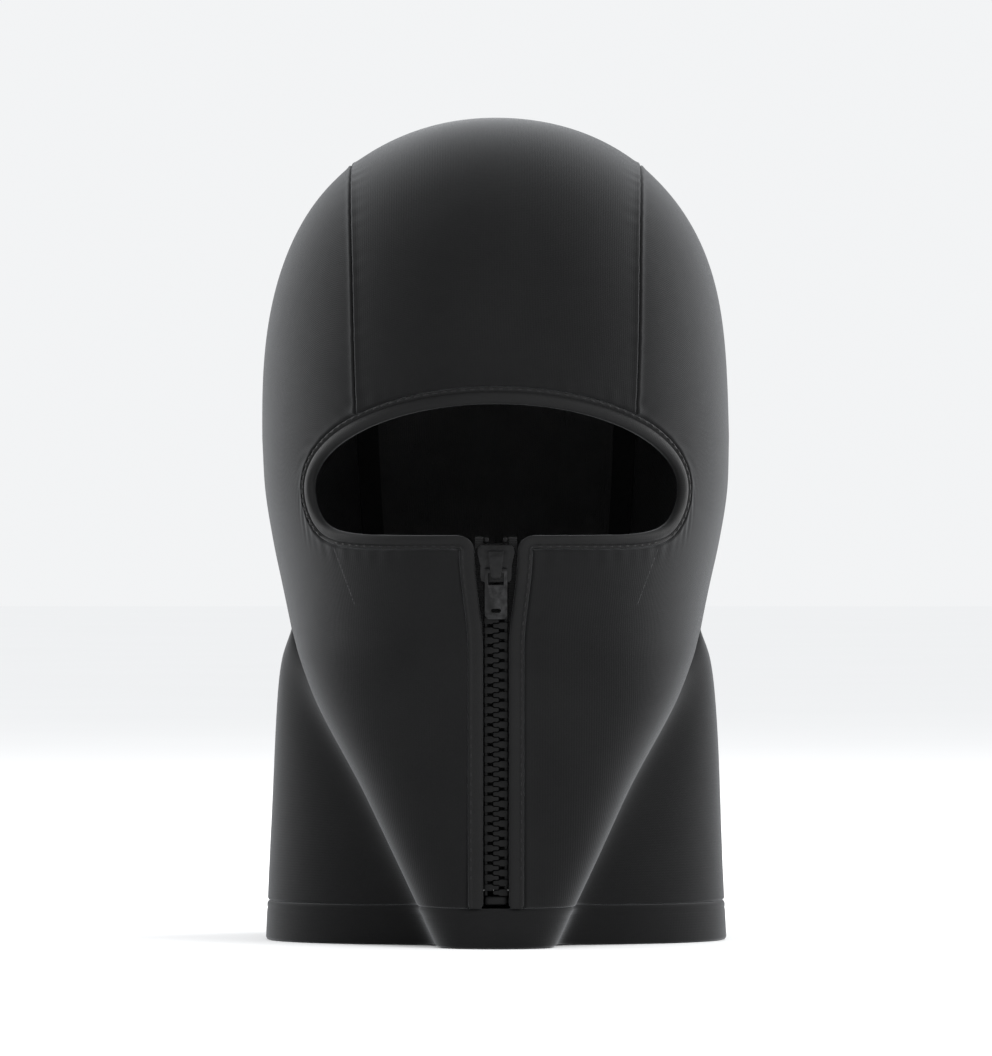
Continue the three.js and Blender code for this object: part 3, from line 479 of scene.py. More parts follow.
def facing_in(grid, normals):
    i, j = grid.shape[0] // 2, grid.shape[1] // 2
    natural = np.cross(grid[i + 1, j] - grid[i, j], grid[i, j + 1] - grid[i, j])
    return bool(np.dot(natural, normals[i, j]) < 0)


def mirrored(grid, side):
    return grid * np.array([side, 1, 1])


def both_sides(grid, left):
    """A grid of left-hand points, with those that aren't on the left mirrored."""
    side = np.where(left, 1, -1)
    return grid * np.stack([side, np.ones(side.shape), np.ones(side.shape)], -1)


def band(name, sections, material, rounded_start=False):
    """A closed band through sections, which are loops of equal length."""
    count, size = sections.shape[:2]
    middle = sections.mean(axis=1, keepdims=True)
    shrink = np.ones((count, 1, 1))
    if rounded_start:
        shrink[0], shrink[1] = 0.8, 0.95
    vertices = (middle + (sections - middle) * shrink).reshape(-1, 3)
    i, j = np.meshgrid(np.arange(count - 1), np.arange(size), indexing="ij")
    a, b = i * size + j, i * size + (j + 1) % size
    quads = np.stack([a, b, b + size, a + size], -1).reshape(-1, 4).tolist()
    start, end = list(range(size))[::-1], list(range((count - 1) * size, count * size))
    ring = sections[0] - middle[0]
    turn = np.cross(ring[0], ring[size // 4])
    if np.dot(turn, middle[1, 0] - middle[0, 0]) < 0:
        quads, start, end = [q[::-1] for q in quads], start[::-1], end[::-1]
    steps = np.linalg.norm(np.diff(middle[:, 0], axis=0), axis=-1)
    along = np.concatenate([[0], np.cumsum(steps)])
    round_it = np.concatenate([[0], np.cumsum(np.linalg.norm(np.diff(sections[0], axis=0), axis=-1))])
    uv = np.stack(np.broadcast_arrays(round_it[None, :], along[:, None]), -1).reshape(-1, 2)
    piece = new_object(name, vertices, quads + [start, end], material, uv)
    piece.data.set_sharp_from_angle(angle=math.radians(50))
    return piece


# ---------------------------------------------------------------- materials


def nodes_of(name, sheen=0.0, sheen_roughness=0.3, sheen_tint=(1, 1, 1, 1), coat=0.0, coat_roughness=0.3,
             specular=0.5):
    """A new material and two helpers: one adds a node, one joins two sockets."""
    made = bpy.data.materials.new(name)
    made.use_nodes = True
    tree = made.node_tree
    shader = tree.nodes["Principled BSDF"]
    shader.inputs["Sheen Weight"].default_value = sheen
    shader.inputs["Sheen Roughness"].default_value = sheen_roughness
    shader.inputs["Sheen Tint"].default_value = sheen_tint
    shader.inputs["Coat Weight"].default_value = coat
    shader.inputs["Coat Roughness"].default_value = coat_roughness
    shader.inputs["Specular IOR Level"].default_value = specular

    def add(kind, inputs=(), **settings):
        node = tree.nodes.new(kind)
        for key, value in settings.items():
            setattr(node, key, value)
        for key, value in dict(inputs).items():
            if isinstance(value, bpy.types.NodeSocket):
                tree.links.new(value, node.inputs[key])
            else:
                node.inputs[key].default_value = value
        return node

    def to_shader(key, socket):
        tree.links.new(socket, shader.inputs[key])

    return made, add, to_shader


def place_of(add):
    return add("ShaderNodeTexCoord").outputs["Object"]


def noise_of(add, vector, scale, detail=3.0, roughness=0.55):
    return add("ShaderNodeTexNoise", {"Vector": vector, "Scale": scale, "Detail": detail,
                                      "Roughness": roughness}).outputs["Fac"]


def ramp_of(add, fac, low, high, start=0.3, end=0.7):
    ramp = add("ShaderNodeValToRGB", {"Fac": fac})
    ramp.color_ramp.elements[0].position, ramp.color_ramp.elements[1].position = start, end
    ramp.color_ramp.elements[0].color, ramp.color_ramp.elements[1].color = (*low, 1), (*high, 1)
    return ramp.outputs["Color"]


def range_of(add, value, low, high, start=0.0, end=1.0):
    return add("ShaderNodeMapRange", {"Value": value, "From Min": start, "From Max": end,
                                      "To Min": low, "To Max": high}).outputs["Result"]


def calc(add, operation, first, second=0.0):
    return add("ShaderNodeMath", {0: first, 1: second}, operation=operation).outputs["Value"]


def bumped(add, to_shader, strength, distance, height):
    node = add("ShaderNodeBump", {"Strength": strength, "Distance": distance, "Height": height})
    to_shader("Normal", node.outputs["Normal"])


def wave(add, coordinate, pitch):
    """A wave of that pitch in millimetres along a coordinate in millimetres."""
    return calc(add, "SINE", calc(add, "MULTIPLY", coordinate, 2 * math.pi / pitch))


def knit(name, low, high, sheen, wale=0.95, course=0.7, roughness=(0.82, 0.95), bump=0.2, sheen_roughness=0.4,
         specular=0.25):
    """Jersey: fine ribs of stitches along the cloth, fuzz between them and a slightly uneven dye."""
    made, add, to_shader = nodes_of(name, sheen=sheen, sheen_roughness=sheen_roughness,
                                    sheen_tint=(0.95, 0.97, 1, 1), specular=specular)
    place = place_of(add)
    flat = add("ShaderNodeSeparateXYZ", {"Vector": add("ShaderNodeUVMap", uv_map="cloth").outputs["UV"]})
    wobble = calc(add, "MULTIPLY", noise_of(add, place, 420.0), 0.9)
    ribs = wave(add, calc(add, "ADD", flat.outputs["Y"], calc(add, "MULTIPLY", wobble, 0.4)), wale)
    loops = wave(add, calc(add, "ADD", flat.outputs["X"], wobble), course)
    fuzz = noise_of(add, place, 2600.0, 4.0, 0.65)
    height = calc(add, "ADD", calc(add, "MULTIPLY", ribs, 0.5), calc(add, "MULTIPLY", loops, 0.3))
    height = calc(add, "ADD", height, calc(add, "MULTIPLY", fuzz, 1.3))
    bumped(add, to_shader, bump, 0.00012, height)
    dye = calc(add, "ADD", calc(add, "MULTIPLY", noise_of(add, place, 38.0, 5.0, 0.6), 0.7),
               calc(add, "MULTIPLY", fuzz, 0.3))
    to_shader("Base Color", ramp_of(add, dye, low, high))
    to_shader("Roughness", range_of(add, noise_of(add, place, 150.0), *roughness))
    return made


def woven(name, low, high, rib=0.8):
    """A zip's woven tape: ribs across it, fine threads along it."""
    made, add, to_shader = nodes_of(name, sheen=0.12, sheen_roughness=0.45, specular=0.15)
    place = place_of(add)
    parts = add("ShaderNodeSeparateXYZ", {"Vector": place})
    up, across = (calc(add, "MULTIPLY", parts.outputs[axis], 1 / MM) for axis in "ZX")
    ribs, threads = wave(add, up, rib), wave(add, across, rib * 0.45)
    fuzz = noise_of(add, place, 3000.0, 3.0)
    height = calc(add, "ADD", ribs, calc(add, "ADD", calc(add, "MULTIPLY", threads, 0.4), fuzz))
    bumped(add, to_shader, 0.6, 0.0001, height)
    to_shader("Base Color", ramp_of(add, range_of(add, height, 0.0, 1.0, -1.0, 2.0), low, high, 0.2, 0.9))
    to_shader("Roughness", range_of(add, fuzz, 0.75, 0.95))
    return made


def moulded(name, low, high):
    """Moulded plastic: fine moulding grain, a little handling shine."""
    made, add, to_shader = nodes_of(name, specular=0.12)
    place = place_of(add)
    grain = noise_of(add, place, 3500.0, 3.0)
    smear = noise_of(add, place, 260.0, 4.0)
    bumped(add, to_shader, 0.12, 0.00005, grain)
    to_shader("Base Color", ramp_of(add, smear, low, high))
    to_shader("Roughness", range_of(add, smear, 0.42, 0.6))
    return made


def painted(name, low, high, worn):
    """Painted metal: a thin coat, faint orange peel, and a little wear where edges stick out."""
    made, add, to_shader = nodes_of(name, coat=0.02, coat_roughness=0.25, specular=0.14)
    place = place_of(add)
    peel = noise_of(add, place, 1500.0, 2.0)
    smear = noise_of(add, place, 500.0, 4.0)
    bumped(add, to_shader, 0.1, 0.00006, peel)
    edges = range_of(add, add("ShaderNodeNewGeometry").outputs["Pointiness"], 0.0, 1.0, 0.52, 0.62)
    wear = calc(add, "MULTIPLY", edges, range_of(add, smear, 0.0, 1.0, 0.35, 0.75))
    paint = add("ShaderNodeMix", {"Factor": wear, 6: ramp_of(add, smear, low, high), 7: (*worn, 1)},
                data_type="RGBA")
    to_shader("Base Color", paint.outputs[2])
    to_shader("Roughness", range_of(add, smear, 0.26, 0.42))
    return made


def thread_material(name, low, high):
    """Sewing thread: twisted plies, a slight lustre."""
    made, add, to_shader = nodes_of(name, sheen=0.12, sheen_roughness=0.3, specular=0.2)
    place = place_of(add)
    twist = noise_of(add, place, 4200.0, 2.0)
    bumped(add, to_shader, 0.5, 0.00005, twist)
    to_shader("Base Color", ramp_of(add, twist, low, high))
    to_shader("Roughness", range_of(add, twist, 0.55, 0.75))
    return made


def pale_floor(name, low, high):
    made, add, to_shader = nodes_of(name, specular=0.0)
    place = place_of(add)
    speckle = noise_of(add, place, 3.0)
    to_shader("Base Color", ramp_of(add, speckle, low, high))
    to_shader("Roughness", range_of(add, speckle, 0.85, 0.95))
    return made


JERSEY = knit("jersey", (0.0055, 0.0055, 0.0057), (0.008, 0.008, 0.0082), 0.26, specular=0.1,
              sheen_roughness=0.42)
BAND = knit("band_jersey", (0.006, 0.006, 0.0062), (0.0085, 0.0085, 0.0087), 0.16, wale=0.8, course=0.6,
            specular=0.15, roughness=(0.6, 0.75), sheen_roughness=0.35)
# The hood's insides are painted much lighter than its outer jersey: painted bounce light inside the hood. The
# inside of the sides and neck is painted darker than the crown's: painted shade on the side panels.
CROWN_INSIDE_PAINTED_LIGHT = knit("crown_inside_painted_light", (0.055, 0.055, 0.056), (0.075, 0.075, 0.076), 0.3, specular=0.1, bump=0.5)
SIDE_INSIDE_PAINTED_DIM_LIGHT = knit("side_inside_painted_dim_light", (0.03, 0.03, 0.031), (0.042, 0.042, 0.043), 0.3, specular=0.1, bump=0.5)
LINING_TAPE = knit("seam_tape_knit", (0.012, 0.012, 0.013), (0.018, 0.018, 0.019), 0.4, wale=0.7, course=0.7)
ZIP_TAPE = woven("zip_tape_weave", (0.006, 0.006, 0.006), (0.012, 0.012, 0.0125))
PLASTIC = moulded("zip_plastic", (0.004, 0.004, 0.0042), (0.007, 0.007, 0.0072))
PAINT = painted("slider_paint", (0.004, 0.004, 0.0042), (0.007, 0.007, 0.0072), (0.03, 0.03, 0.031))
THREAD = thread_material("sewing_thread", (0.008, 0.008, 0.0085), (0.012, 0.012, 0.0125))

# ---------------------------------------------------------------- placing and hiding the frame's pieces


def placed(piece, body, slot, *nodes):
    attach(piece, body)
    if nodes:
        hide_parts(*nodes)
    return piece


# ---------------------------------------------------------------- the panels


def wavy(grid):
    return unevenness(grid, 85, 0.28)


def seam_ridge(distance, height=0.5, reach=1.7):
    """Cloth turned in at a seam stands slightly proud of it."""
    return height * np.exp(-(distance / reach) ** 2)


def crown_grid():
    length, width = 430, 2 * CROWN_FRONT
    along = edge_spots(230, length)
    across = edge_spots(90, width) * 2 - 1
    v, u = np.meshgrid(along, across, indexing="ij")
    return crown_point(u * (crown_half_width(v) - SEAM_GAP / 2), v)


def build_crown():
    grid = crown_grid()
    from_brow = lengths_from(grid, 0)[0]
    from_left, to_right = lengths_from(grid, 1)
    side_distance = np.minimum(from_left, to_right)
    lift = wavy(grid) + seam_ridge(side_distance) + pucker(side_distance, from_brow)
    lift += pucker(from_brow, from_left, 0.07)
    piece = cloth("crown", grid, JERSEY, lift, inside_painted_light=CROWN_INSIDE_PAINTED_LIGHT)
    placed(piece, "hood", "jersey", "crown_panel")


FOLD_CROWDING = 1.6                      # power that draws the neck's columns together at the fold
HEM_PANEL_Z = HEM_HEIGHT + SEAM_GAP
HEM_GAP = 0.06                           # between the hem's upper edge and the panels
HEM_SHARE, JAW_SHARE = 6 / 28, 16 / 28   # where the panel's outer edge turns: hem to fold, fold to neck
FRONT_SHARE = share_where(cloth_edge, panel_edge_x(ZIP_TOP_Z), 1e-4, 0.4)
CROWN_SHARE = share_where(cloth_edge, CROWN_FRONT + SEAM_GAP / 2, 0.5, 1)


def on_head(points_in):
    """The station and height of points on the hood."""
    x, y, z = points_in[..., 0], points_in[..., 1] - MIDDLE_Y, points_in[..., 2]
    station = station_of(x, z)
    return np.where(y < -widest_y(z), station, 2 - station), z


def outer_edge(v):
    hem_station = station_of(np.array(panel_edge_x(HEM_PANEL_Z)), np.array(HEM_PANEL_Z))
    end = 2 - station_of(np.array(CROWN_NAPE + SEAM_GAP / 2), np.array(float(WAIST_Z)))
    station = np.interp(v, [0, HEM_SHARE, JAW_SHARE, 1], [float(hem_station), 1, 1, float(end)])
    return station, np.interp(v, [0, HEM_SHARE, JAW_SHARE, 1], [HEM_PANEL_Z, HEM_PANEL_Z, WAIST_Z, WAIST_Z])


def side_grid():
    rows = np.concatenate([
        edge_spots(34, 50)[:-1] * HEM_SHARE,
        HEM_SHARE + edge_spots(60, 100)[:-1] * (JAW_SHARE - HEM_SHARE),
        JAW_SHARE + edge_spots(70, 100) * (1 - JAW_SHARE)])
    columns = edge_spots(130, 170)
    u, v = np.meshgrid(columns, rows, indexing="ij")
    shares = even_shares(FRONT_SHARE, CROWN_SHARE, rows)
    start = on_head(cloth_edge(shares))
    end = outer_edge(rows)
    seam = on_head(crown_point(crown_half_width(columns) + SEAM_GAP / 2, columns))
    station = between(start[0][None], end[0][None], u)
    z = between(start[1][None], end[1][None], u)
    pull = ease(v, JAW_SHARE * 0.75, 1) ** 1.5
    station = station + pull * (seam[0] - between(seam[0][0], seam[0][-1], columns))[:, None]
    z = z + pull * (seam[1] - between(seam[1][0], seam[1][-1], columns))[:, None]
    edge_z = between(start[1][0], HEM_PANEL_Z, columns)
    bend = station_of(panel_edge_x(edge_z), edge_z) - between(start[0][0], end[0][0], columns)
    station = station + bend[:, None] * (1 - v) ** 4
    return head_point(station, z)


SIDE_GRID = side_grid()


# ---------------------------------------------------------------- the front opening with the zip

FLAP_TOP_Z, FLAP_BACK_Y = 150, -20      # the flap lies below and in front of these
HINGE_FOOT = np.array([SLOT + FACING + 0.1, 0, HEM_HEIGHT + 0.4])


def hinge_across():
    """The direction across the line from the hem beside the zip to the join of the bands."""
    join = np.array([BAND_JOIN])
    top = (eye_edge(join, 0 * join) + eye_edge(join, band_width(join)))[0] / 2
    rise = unit((top - HINGE_FOOT) * np.array([1, 0, 1]))
    return np.array([rise[2], 0, -rise[0]])


HINGE_ACROSS = hinge_across()


def hinge(side):
    """A point on the line that one side of the front folds about, and the direction across it."""
    flip = np.array([side, 1, 1])
    return Vector(HINGE_FOOT * flip * MM), Vector(HINGE_ACROSS * flip)


def opens(piece):
    """Gives a piece that draws aside with its side of the front, as the zip runs down, a mesh of its own."""
    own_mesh(piece)


def unzips(piece):
    """Gives one of the zip's own pieces, which part from the bottom stop upwards, a mesh of its own."""
    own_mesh(piece)


def part_of(piece, side, name, wanted):
    """The flap beside the zip, if wanted, or the rest of the panel, each closed where they meet."""
    anchor, across = hinge(side)

    def in_front(face):
        place = face.calc_center_median() / MM
        return place.z < FLAP_TOP_Z and place.y < FLAP_BACK_Y

    cut = bmesh.new()
    cut.from_mesh(piece.data)
    near = [face for face in cut.faces if in_front(face)]
    edges = list({edge for face in near for edge in face.edges})
    corners = list({corner for face in near for corner in face.verts})
    bmesh.ops.bisect_plane(cut, geom=near + edges + corners, dist=1e-8, plane_co=anchor, plane_no=across)
    doomed = [face for face in cut.faces
              if (in_front(face) and (face.calc_center_median() - anchor).dot(across) < 0) != wanted]
    bmesh.ops.delete(cut, geom=doomed, context="FACES")
    bmesh.ops.holes_fill(cut, edges=[edge for edge in cut.edges if edge.is_boundary], sides=0)
    mesh = bpy.data.meshes.new(name)
    cut.to_mesh(mesh)
    cut.free()
    for material in piece.data.materials:
        mesh.materials.append(material)
    mesh.set_sharp_from_angle(angle=math.radians(50))
    made = bpy.data.objects.new(name, mesh)
    bpy.context.scene.collection.objects.link(made)
    return made


def build_side(label, side):
    grid = mirrored(SIDE_GRID, side)
    from_eye = lengths_from(grid, 0)[0]
    from_zip, to_crown = lengths_from(grid, 1)
    lift = wavy(grid) + seam_ridge(to_crown) + pucker(to_crown, from_eye)
    lift += pucker(from_eye, from_zip, 0.07) + seam_ridge(from_eye, 0.22, 2.2)
    lift += seam_ridge(from_zip, 0.45, 2.6) + pucker(from_zip, from_eye, 0.06)
    whole = cloth(f"whole_{label}", grid, JERSEY, lift, inside_painted_light=SIDE_INSIDE_PAINTED_DIM_LIGHT)
    rest = part_of(whole, side, f"side_{label}", False)
    flap = part_of(whole, side, f"front_flap_{label}", True)
    bpy.data.objects.remove(whole)
    for piece in (rest, flap):
        placed(piece, "hood", "jersey", f"side_panel_{label}")
    opens(flap)


def build_neck():
    spots = edge_spots(110, 200)
    half = np.concatenate([spots[:len(spots) // 2], [0.5]])
    u = np.concatenate([half, 1 - half[-2::-1]])
    v = edge_spots(60, HOOD_HEIGHT * 0.33)
    across, up = np.meshgrid(u, v, indexing="ij")
    turn = (1 - np.abs(2 * across - 1)) ** FOLD_CROWDING
    grid = neck_point(turn, between(HEM_PANEL_Z, WAIST_Z - SEAM_GAP, up))
    grid[..., 1] += 0.3 * (1 - turn)
    grid = both_sides(grid, across >= 0.5)
    to_waist = lengths_from(grid, 1)[1]
    lift = wavy(grid) + seam_ridge(to_waist) + pucker(to_waist, lengths_from(grid, 0)[0])
    lift *= ease(turn, 0.0, 0.15)
    piece = cloth("neck", grid, JERSEY, lift, inside_painted_light=SIDE_INSIDE_PAINTED_DIM_LIGHT)
    placed(piece, "hood", "jersey", "neck_panel")


def build_hem():
    u = np.arange(480) / 480
    v = edge_spots(12, HEM_HEIGHT)
    around, up = np.meshgrid(u, v, indexing="ij")
    share = 1 - np.abs(2 * around - 1)
    z = (HEM_PANEL_Z - HEM_GAP) * up
    front = head_point(np.minimum(share / 0.25, 1), z)
    rest = neck_point(np.clip((share - 0.25) / 0.75, 0, 1) ** FOLD_CROWDING, z)
    grid = np.where((share < 0.25)[..., None], front, rest)
    grid = both_sides(grid, around < 0.5)
    from_bottom = lengths_from(grid, 1)[0]
    groove = -0.22 * np.exp(-((from_bottom - HEM_HEIGHT + 2.5) / 0.5) ** 2)
    under_pull = -0.45 * np.exp(-(grid[..., 0] / 7) ** 2) * (grid[..., 1] < 0)
    piece = cloth("hem", grid, JERSEY, wavy(grid) * 0.5 + groove + under_pull, ring=True,
                  round_edges=(0, 0, 1, 1))
    placed(piece, "hood", "jersey", "hem_band")


# ---------------------------------------------------------------- the rolled bands

# Each section as shares of the band's width and heights above the cloth, from the opening's edge.
ROLLED = [(0.0, -0.9), (0.01, -0.45), (0.05, 0.05), (0.13, 0.42), (0.24, 0.62), (0.36, 0.66), (0.48, 0.58),
          (0.58, 0.38), (0.65, 0.10), (0.69, -0.22), (0.72, -0.32), (0.75, -0.2), (0.80, 0.12), (0.87, 0.2),
          (0.93, 0.12), (0.98, -0.15), (1.0, -0.6)]
TURNED = [(0.0, -0.9), (0.01, -0.5), (0.05, -0.15), (0.13, 0.1), (0.24, 0.22), (0.38, 0.24), (0.52, 0.18),
          (0.64, 0.1), (0.72, 0.1), (0.79, 0.26), (0.86, 0.34), (0.92, 0.22), (0.96, -0.05), (0.99, -0.4),
          (1.0, -0.7)]


def band_loops(edge, far, normal, profile_mix, lift):
    """Loops round the band's section: the profile outside, and rounded flat inside."""
    shares = np.array([p[0] for p in ROLLED])
    rolled = np.array([p[1] for p in ROLLED])
    turned = np.interp(shares, [p[0] for p in TURNED], [p[1] for p in TURNED])
    heights = between(turned[None], rolled[None], profile_mix[:, None]) + lift[:, None]
    inner_shares = np.array([0.99, 0.93, 0.75, 0.5, 0.25, 0.07, 0.01])
    inner = -CLOTH + np.array([0.5, 0.12, 0, 0, 0, 0.12, 0.5])
    all_shares = np.concatenate([shares, inner_shares])
    all_heights = np.concatenate([heights, np.broadcast_to(inner, (len(edge), 7)) + lift[:, None]], 1)
    across = edge[:, None] + (far - edge)[:, None] * all_shares[None, :, None]
    return across + normal[:, None] * all_heights[..., None]


def rim_line(shares):
    edge = eye_edge(shares, 0 * shares)
    far = eye_edge(shares, band_width(shares))
    middle = (edge + far) / 2
    return edge, far, surface_normal(middle[:, 0], middle[:, 2])


def build_brow():
    half = even_shares(BAND_JOIN, 1, np.linspace(0, 1, 150))
    edge, far, normal = rim_line(half)
    flip = np.array([-1, 1, 1])
    edge, far, normal = (np.concatenate([part, part[-2::-1] * flip]) for part in (edge, far, normal))
    loops = band_loops(edge, far, normal, np.ones(len(edge)), wavy((edge + far) / 2))
    piece = band("brow_band", loops, BAND)
    placed(piece, "hood", "binding", "brow_binding")
    return edge, far, normal


def front_line():
    """The edge of the front: up beside the zip, round a corner and along the opening's lower edge."""
    flat_normal = np.array([0, -math.cos(ZIP_LEAN), -math.sin(ZIP_LEAN)])
    corner_x = SLOT_TOP + FRONT_CORNER_RADIUS

    def on_zip_plane(x, z):
        return points(x, -front_depth(z), z)

    z = np.linspace(HEM_HEIGHT + 2 * SEAM_GAP, RIM_Z - FRONT_CORNER_RADIUS, 110)[:-1]
    edges = [on_zip_plane(slot_half(z), z)]
    fars = [on_zip_plane(slot_half(z) + FACING, z)]
    normals = [np.broadcast_to(flat_normal, (len(z), 3))]
    turned = np.linspace(0, 1, 22)[:-1]
    angle = math.pi * (1 - turned / 2)
    mix = turned[:, None]

    def at(radius):
        x, up = corner_x + radius * np.cos(angle), RIM_Z - FRONT_CORNER_RADIUS + radius * np.sin(angle)
        return between(on_zip_plane(x, up), front_point(x, up), mix)

    edges.append(at(FRONT_CORNER_RADIUS))
    fars.append(at(FRONT_CORNER_RADIUS - between(FACING, BAND_BOTTOM, turned)))
    rim_normal = surface_normal(np.array([corner_x]), np.array([float(RIM_Z)]))
    normals.append(unit(between(flat_normal[None], rim_normal, mix)))
    shares = even_shares(share_where(lambda s: eye_edge(s, 0 * s), corner_x, 1e-4, 0.4), BAND_JOIN,
                         np.linspace(0, 1, 90))
    edge, far, normal = rim_line(shares)
    profile = np.concatenate([0 * z, turned * 0.4, between(0.4, 1, ease(np.linspace(0, 1, 90), 0.2, 0.95))])
    return (np.concatenate([*edges, edge]), np.concatenate([*fars, far]),
            np.concatenate([*normals, normal]), profile)


def build_front_band(label, side):
    edge, far, normal, profile = front_line()
    flip = np.array([side, 1, 1])
    edge, far, normal = edge * flip, far * flip, normal * flip
    loops = band_loops(edge, far, normal, profile, wavy((edge + far) / 2))
    piece = band(f"front_band_{label}", loops, BAND, rounded_start=True)
    placed(piece, "hood", "binding", f"front_binding_{label}")
    opens(piece)


# ---------------------------------------------------------------- tapes on the inside seams

TAPE_HALF_WIDTH = 4
TAPE_THICKNESS = 0.6
TAPE_EDGE = (0, 0.1, 0.3)      # the first places from a tape's edge


def build_seam_tapes():
    for label, side in LEFT_AND_RIGHT:
        across, along = np.meshgrid(edge_spots(8, 2 * TAPE_HALF_WIDTH, TAPE_EDGE),
                                    np.linspace(0.03, 0.97, 200), indexing="ij")
        x = crown_half_width(along) + (2 * across - 1) * TAPE_HALF_WIDTH
        grid = mirrored(crown_point(x, along), side)
        piece = cloth(f"crown_tape_{label}", grid, LINING_TAPE, inset=CLOTH + 0.35,
                      thickness=TAPE_THICKNESS)
        placed(piece, "hood", "tape", f"crown_seam_tape_{label}")
    around, up = np.meshgrid(np.linspace(0, 1, 260), edge_spots(8, 2 * TAPE_HALF_WIDTH, TAPE_EDGE),
                             indexing="ij")
    grid = head_point(between(2, 1.08, np.abs(2 * around - 1)), np.full(up.shape, float(WAIST_Z)))
    grid[..., 2] = WAIST_Z + (2 * up - 1) * TAPE_HALF_WIDTH
    grid = both_sides(grid, around >= 0.5)
    piece = cloth("neck_tape", grid, LINING_TAPE, inset=CLOTH + 0.5, thickness=TAPE_THICKNESS)
    placed(piece, "hood", "tape", "neck_seam_tape")


# ---------------------------------------------------------------- stitches


def stitch_row(line, normals, length=2.4, gap=0.9, radius=0.22, rings=5, sides=6):
    """Short stitches along a line of points, each dipping into the cloth at its ends."""
    steps = np.concatenate([[0], np.cumsum(np.linalg.norm(np.diff(line, axis=0), axis=-1))])
    count = int(steps[-1] / (length + gap))
    starts = np.arange(count) * steps[-1] / count + gap / 2

    def sample(values, at):
        return np.stack([np.interp(at, steps, values[:, k]) for k in range(3)], -1)

    spots = np.linspace(0, 1, rings)
    at = starts[:, None] + spots[None] * length
    centre, up = sample(line, at), unit(sample(normals, at))
    forward = unit(sample(line, at + 0.05) - sample(line, at - 0.05))
    sideways = np.cross(forward, up)
    dip = radius * (1 - 2.2 * (2 * spots - 1) ** 4)
    thick = radius * np.sqrt(np.maximum(1 - (2 * spots - 1) ** 6, 0.15))
    turn = np.arange(sides) * 2 * math.pi / sides
    ring = (sideways[:, :, None] * np.cos(turn)[:, None] + up[:, :, None] * np.sin(turn)[:, None] * 0.8)
    vertices = (centre + up * dip[:, None])[:, :, None] + ring * thick[:, None, None]
    faces = []
    for s in range(count):
        base = s * rings * sides
        for r in range(rings - 1):
            for k in range(sides):
                a, b = base + r * sides + k, base + r * sides + (k + 1) % sides
                faces.append([a, b, b + sides, a + sides][::-1])
        faces.append(list(range(base, base + sides)))
        faces.append(list(range(base + (rings - 1) * sides, base + rings * sides))[::-1])
    return vertices.reshape(-1, 3), faces


def stitches(name, rows):
    """One piece of all the stitches in these rows, each a line of points with its normals."""
    vertices, faces, shift = [], [], 0
    for line, normals in rows:
        found, quads = stitch_row(line, normals)
        vertices.append(found)
        faces.extend([[corner + shift for corner in quad] for quad in quads])
        shift += len(found)
    return new_object(name, np.concatenate(vertices), faces, THREAD)


def build_front_stitches(label, side):
    edge, far, normal, _ = front_line()
    flip = np.array([side, 1, 1])
    line = (far - unit(far - edge) * 0.95 + normal * 0.24) * flip
    piece = stitches(f"front_stitches_{label}", [(line[8:-6], (normal * flip)[8:-6])])
    opens(placed(piece, "hood", "binding"))


def build_brow_stitches(edge, far, normal):
    line = far - unit(far - edge) * 0.75 + normal * 0.15
    placed(stitches("brow_stitches", [(line[4:-4], normal[4:-4])]), "hood", "binding")


# ---------------------------------------------------------------- the zip


def copied(name, node, material, bevel, body, slot, segments=3, angle=28):
    """A copy of a CAD piece with its flat faces joined up and its edges bevelled."""
    source = bmesh.new()
    source.from_mesh(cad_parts[node].data)
    bmesh.ops.remove_doubles(source, verts=source.verts, dist=1e-6)
    bmesh.ops.dissolve_limit(source, angle_limit=math.radians(1), verts=source.verts, edges=source.edges)
    mesh = bpy.data.meshes.new(name)
    source.to_mesh(mesh)
    source.free()
    mesh.materials.clear()
    mesh.materials.append(material)
    piece = bpy.data.objects.new(name, mesh)
    bpy.context.scene.collection.objects.link(piece)
    rounding = piece.modifiers.new("rounded edges", "BEVEL")
    rounding.width = bevel * MM
    rounding.segments = segments
    rounding.limit_method = "ANGLE"
    rounding.angle_limit = math.radians(angle)
    bpy.context.view_layer.update()
    final = bpy.data.meshes.new_from_object(piece.evaluated_get(bpy.context.evaluated_depsgraph_get()))
    piece.modifiers.clear()
    piece.data = final
    final.polygons.foreach_set("use_smooth", [True] * len(final.polygons))
    final.set_sharp_from_angle(angle=math.radians(40))
    return placed(piece, body, slot, node)


def build_zip():
    for label, side in LEFT_AND_RIGHT:
        unzips(copied(f"tape_{label}", f"zip_tape_{label}", ZIP_TAPE, 0.2, "hood", "tape"))
        unzips(copied(f"teeth_{label}", f"zip_teeth_{label}", PLASTIC, 0.18, "hood", "moulded", 2))
        unzips(copied(f"end_stop_{label}", f"top_stop_{label}", PLASTIC, 0.2, "hood", "moulded"))
    copied("foot_stop", "bottom_stop", PLASTIC, 0.3, "hood", "moulded")
    copied("slider", "slider_body", PAINT, 0.3, "zip_slider", "painted")
    copied("bridge", "slider_bridge", PAINT, 0.35, "zip_slider", "painted")
    copied("pull", "pull_tab", PAINT, 0.3, "zip_pull", "painted")


# ---------------------------------------------------------------- the stage

FLOOR_DROP = 0.00011           # metres, just under the hem
CAMERA_LENS = 312
CAMERA_DISTANCE = 3.3


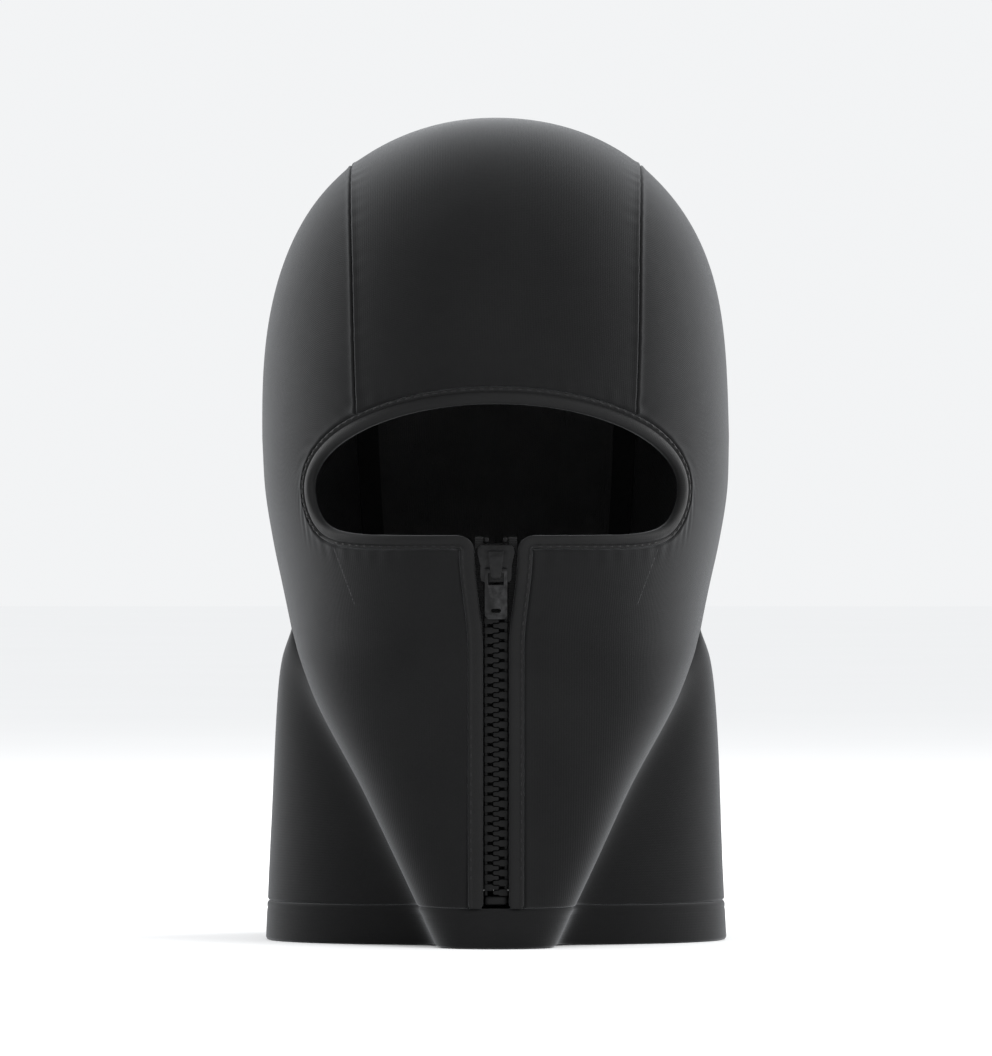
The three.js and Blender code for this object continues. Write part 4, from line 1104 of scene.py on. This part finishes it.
def build_stage():
    floor = bpy.data.meshes.new("floor")
    grid = bmesh.new()
    bmesh.ops.create_grid(grid, x_segments=8, y_segments=8, size=14)
    grid.to_mesh(floor)
    grid.free()
    floor.materials.append(pale_floor("floor_paint", (0.965, 0.967, 0.97), (0.975, 0.977, 0.98)))
    ground = bpy.data.objects.new("floor", floor)
    ground.location.z = cad_low.z - FLOOR_DROP
    bpy.context.scene.collection.objects.link(ground)
    world = bpy.data.worlds.new("studio")
    bpy.context.scene.world = world
    world.use_nodes = True
    world.node_tree.nodes["Background"].inputs["Color"].default_value = (0.93, 0.94, 0.95, 1)
    world.node_tree.nodes["Background"].inputs["Strength"].default_value = 0.96


def lamp(name, azimuth, elevation, distance, size, power):
    """A soft square light on the hood's middle. Azimuth 0 is in front and 90 to its left side (+X)."""
    middle = (cad_low + cad_high) / 2
    turn, rise = math.radians(azimuth), math.radians(elevation)
    offset = Vector((math.sin(turn) * math.cos(rise), -math.cos(turn) * math.cos(rise), math.sin(rise)))
    light = bpy.data.lights.new(name, "AREA")
    light.size = size
    light.energy = power
    holder = bpy.data.objects.new(name, light)
    holder.location = middle + offset * distance
    holder.rotation_euler = (-offset).to_track_quat("-Z", "Y").to_euler()
    bpy.context.scene.collection.objects.link(holder)


def build_camera():
    middle = (cad_low + cad_high) / 2
    camera = bpy.data.cameras.new("camera")
    camera.lens = CAMERA_LENS
    camera.clip_start = 0.1
    camera.clip_end = 60
    holder = bpy.data.objects.new("camera", camera)
    holder.location = (0, -CAMERA_DISTANCE, middle.z)
    holder.rotation_euler = (math.pi / 2, 0, 0)
    bpy.context.scene.collection.objects.link(holder)
    bpy.context.scene.camera = holder
    bpy.context.scene.view_settings.view_transform = "Standard"


build_camera()
build_stage()
lamp("key", 48, 24, 2.2, 0.8, 22)
lamp("lamp_left", 118, 14, 2.0, 1.0, 34)
lamp("lamp_right", -118, 14, 2.0, 1.0, 34)
build_crown()
for label, side in LEFT_AND_RIGHT:
    build_side(label, side)
    build_front_band(label, side)
    build_front_stitches(label, side)
build_neck()
build_hem()
build_brow_stitches(*build_brow())
build_seam_tapes()
build_zip()
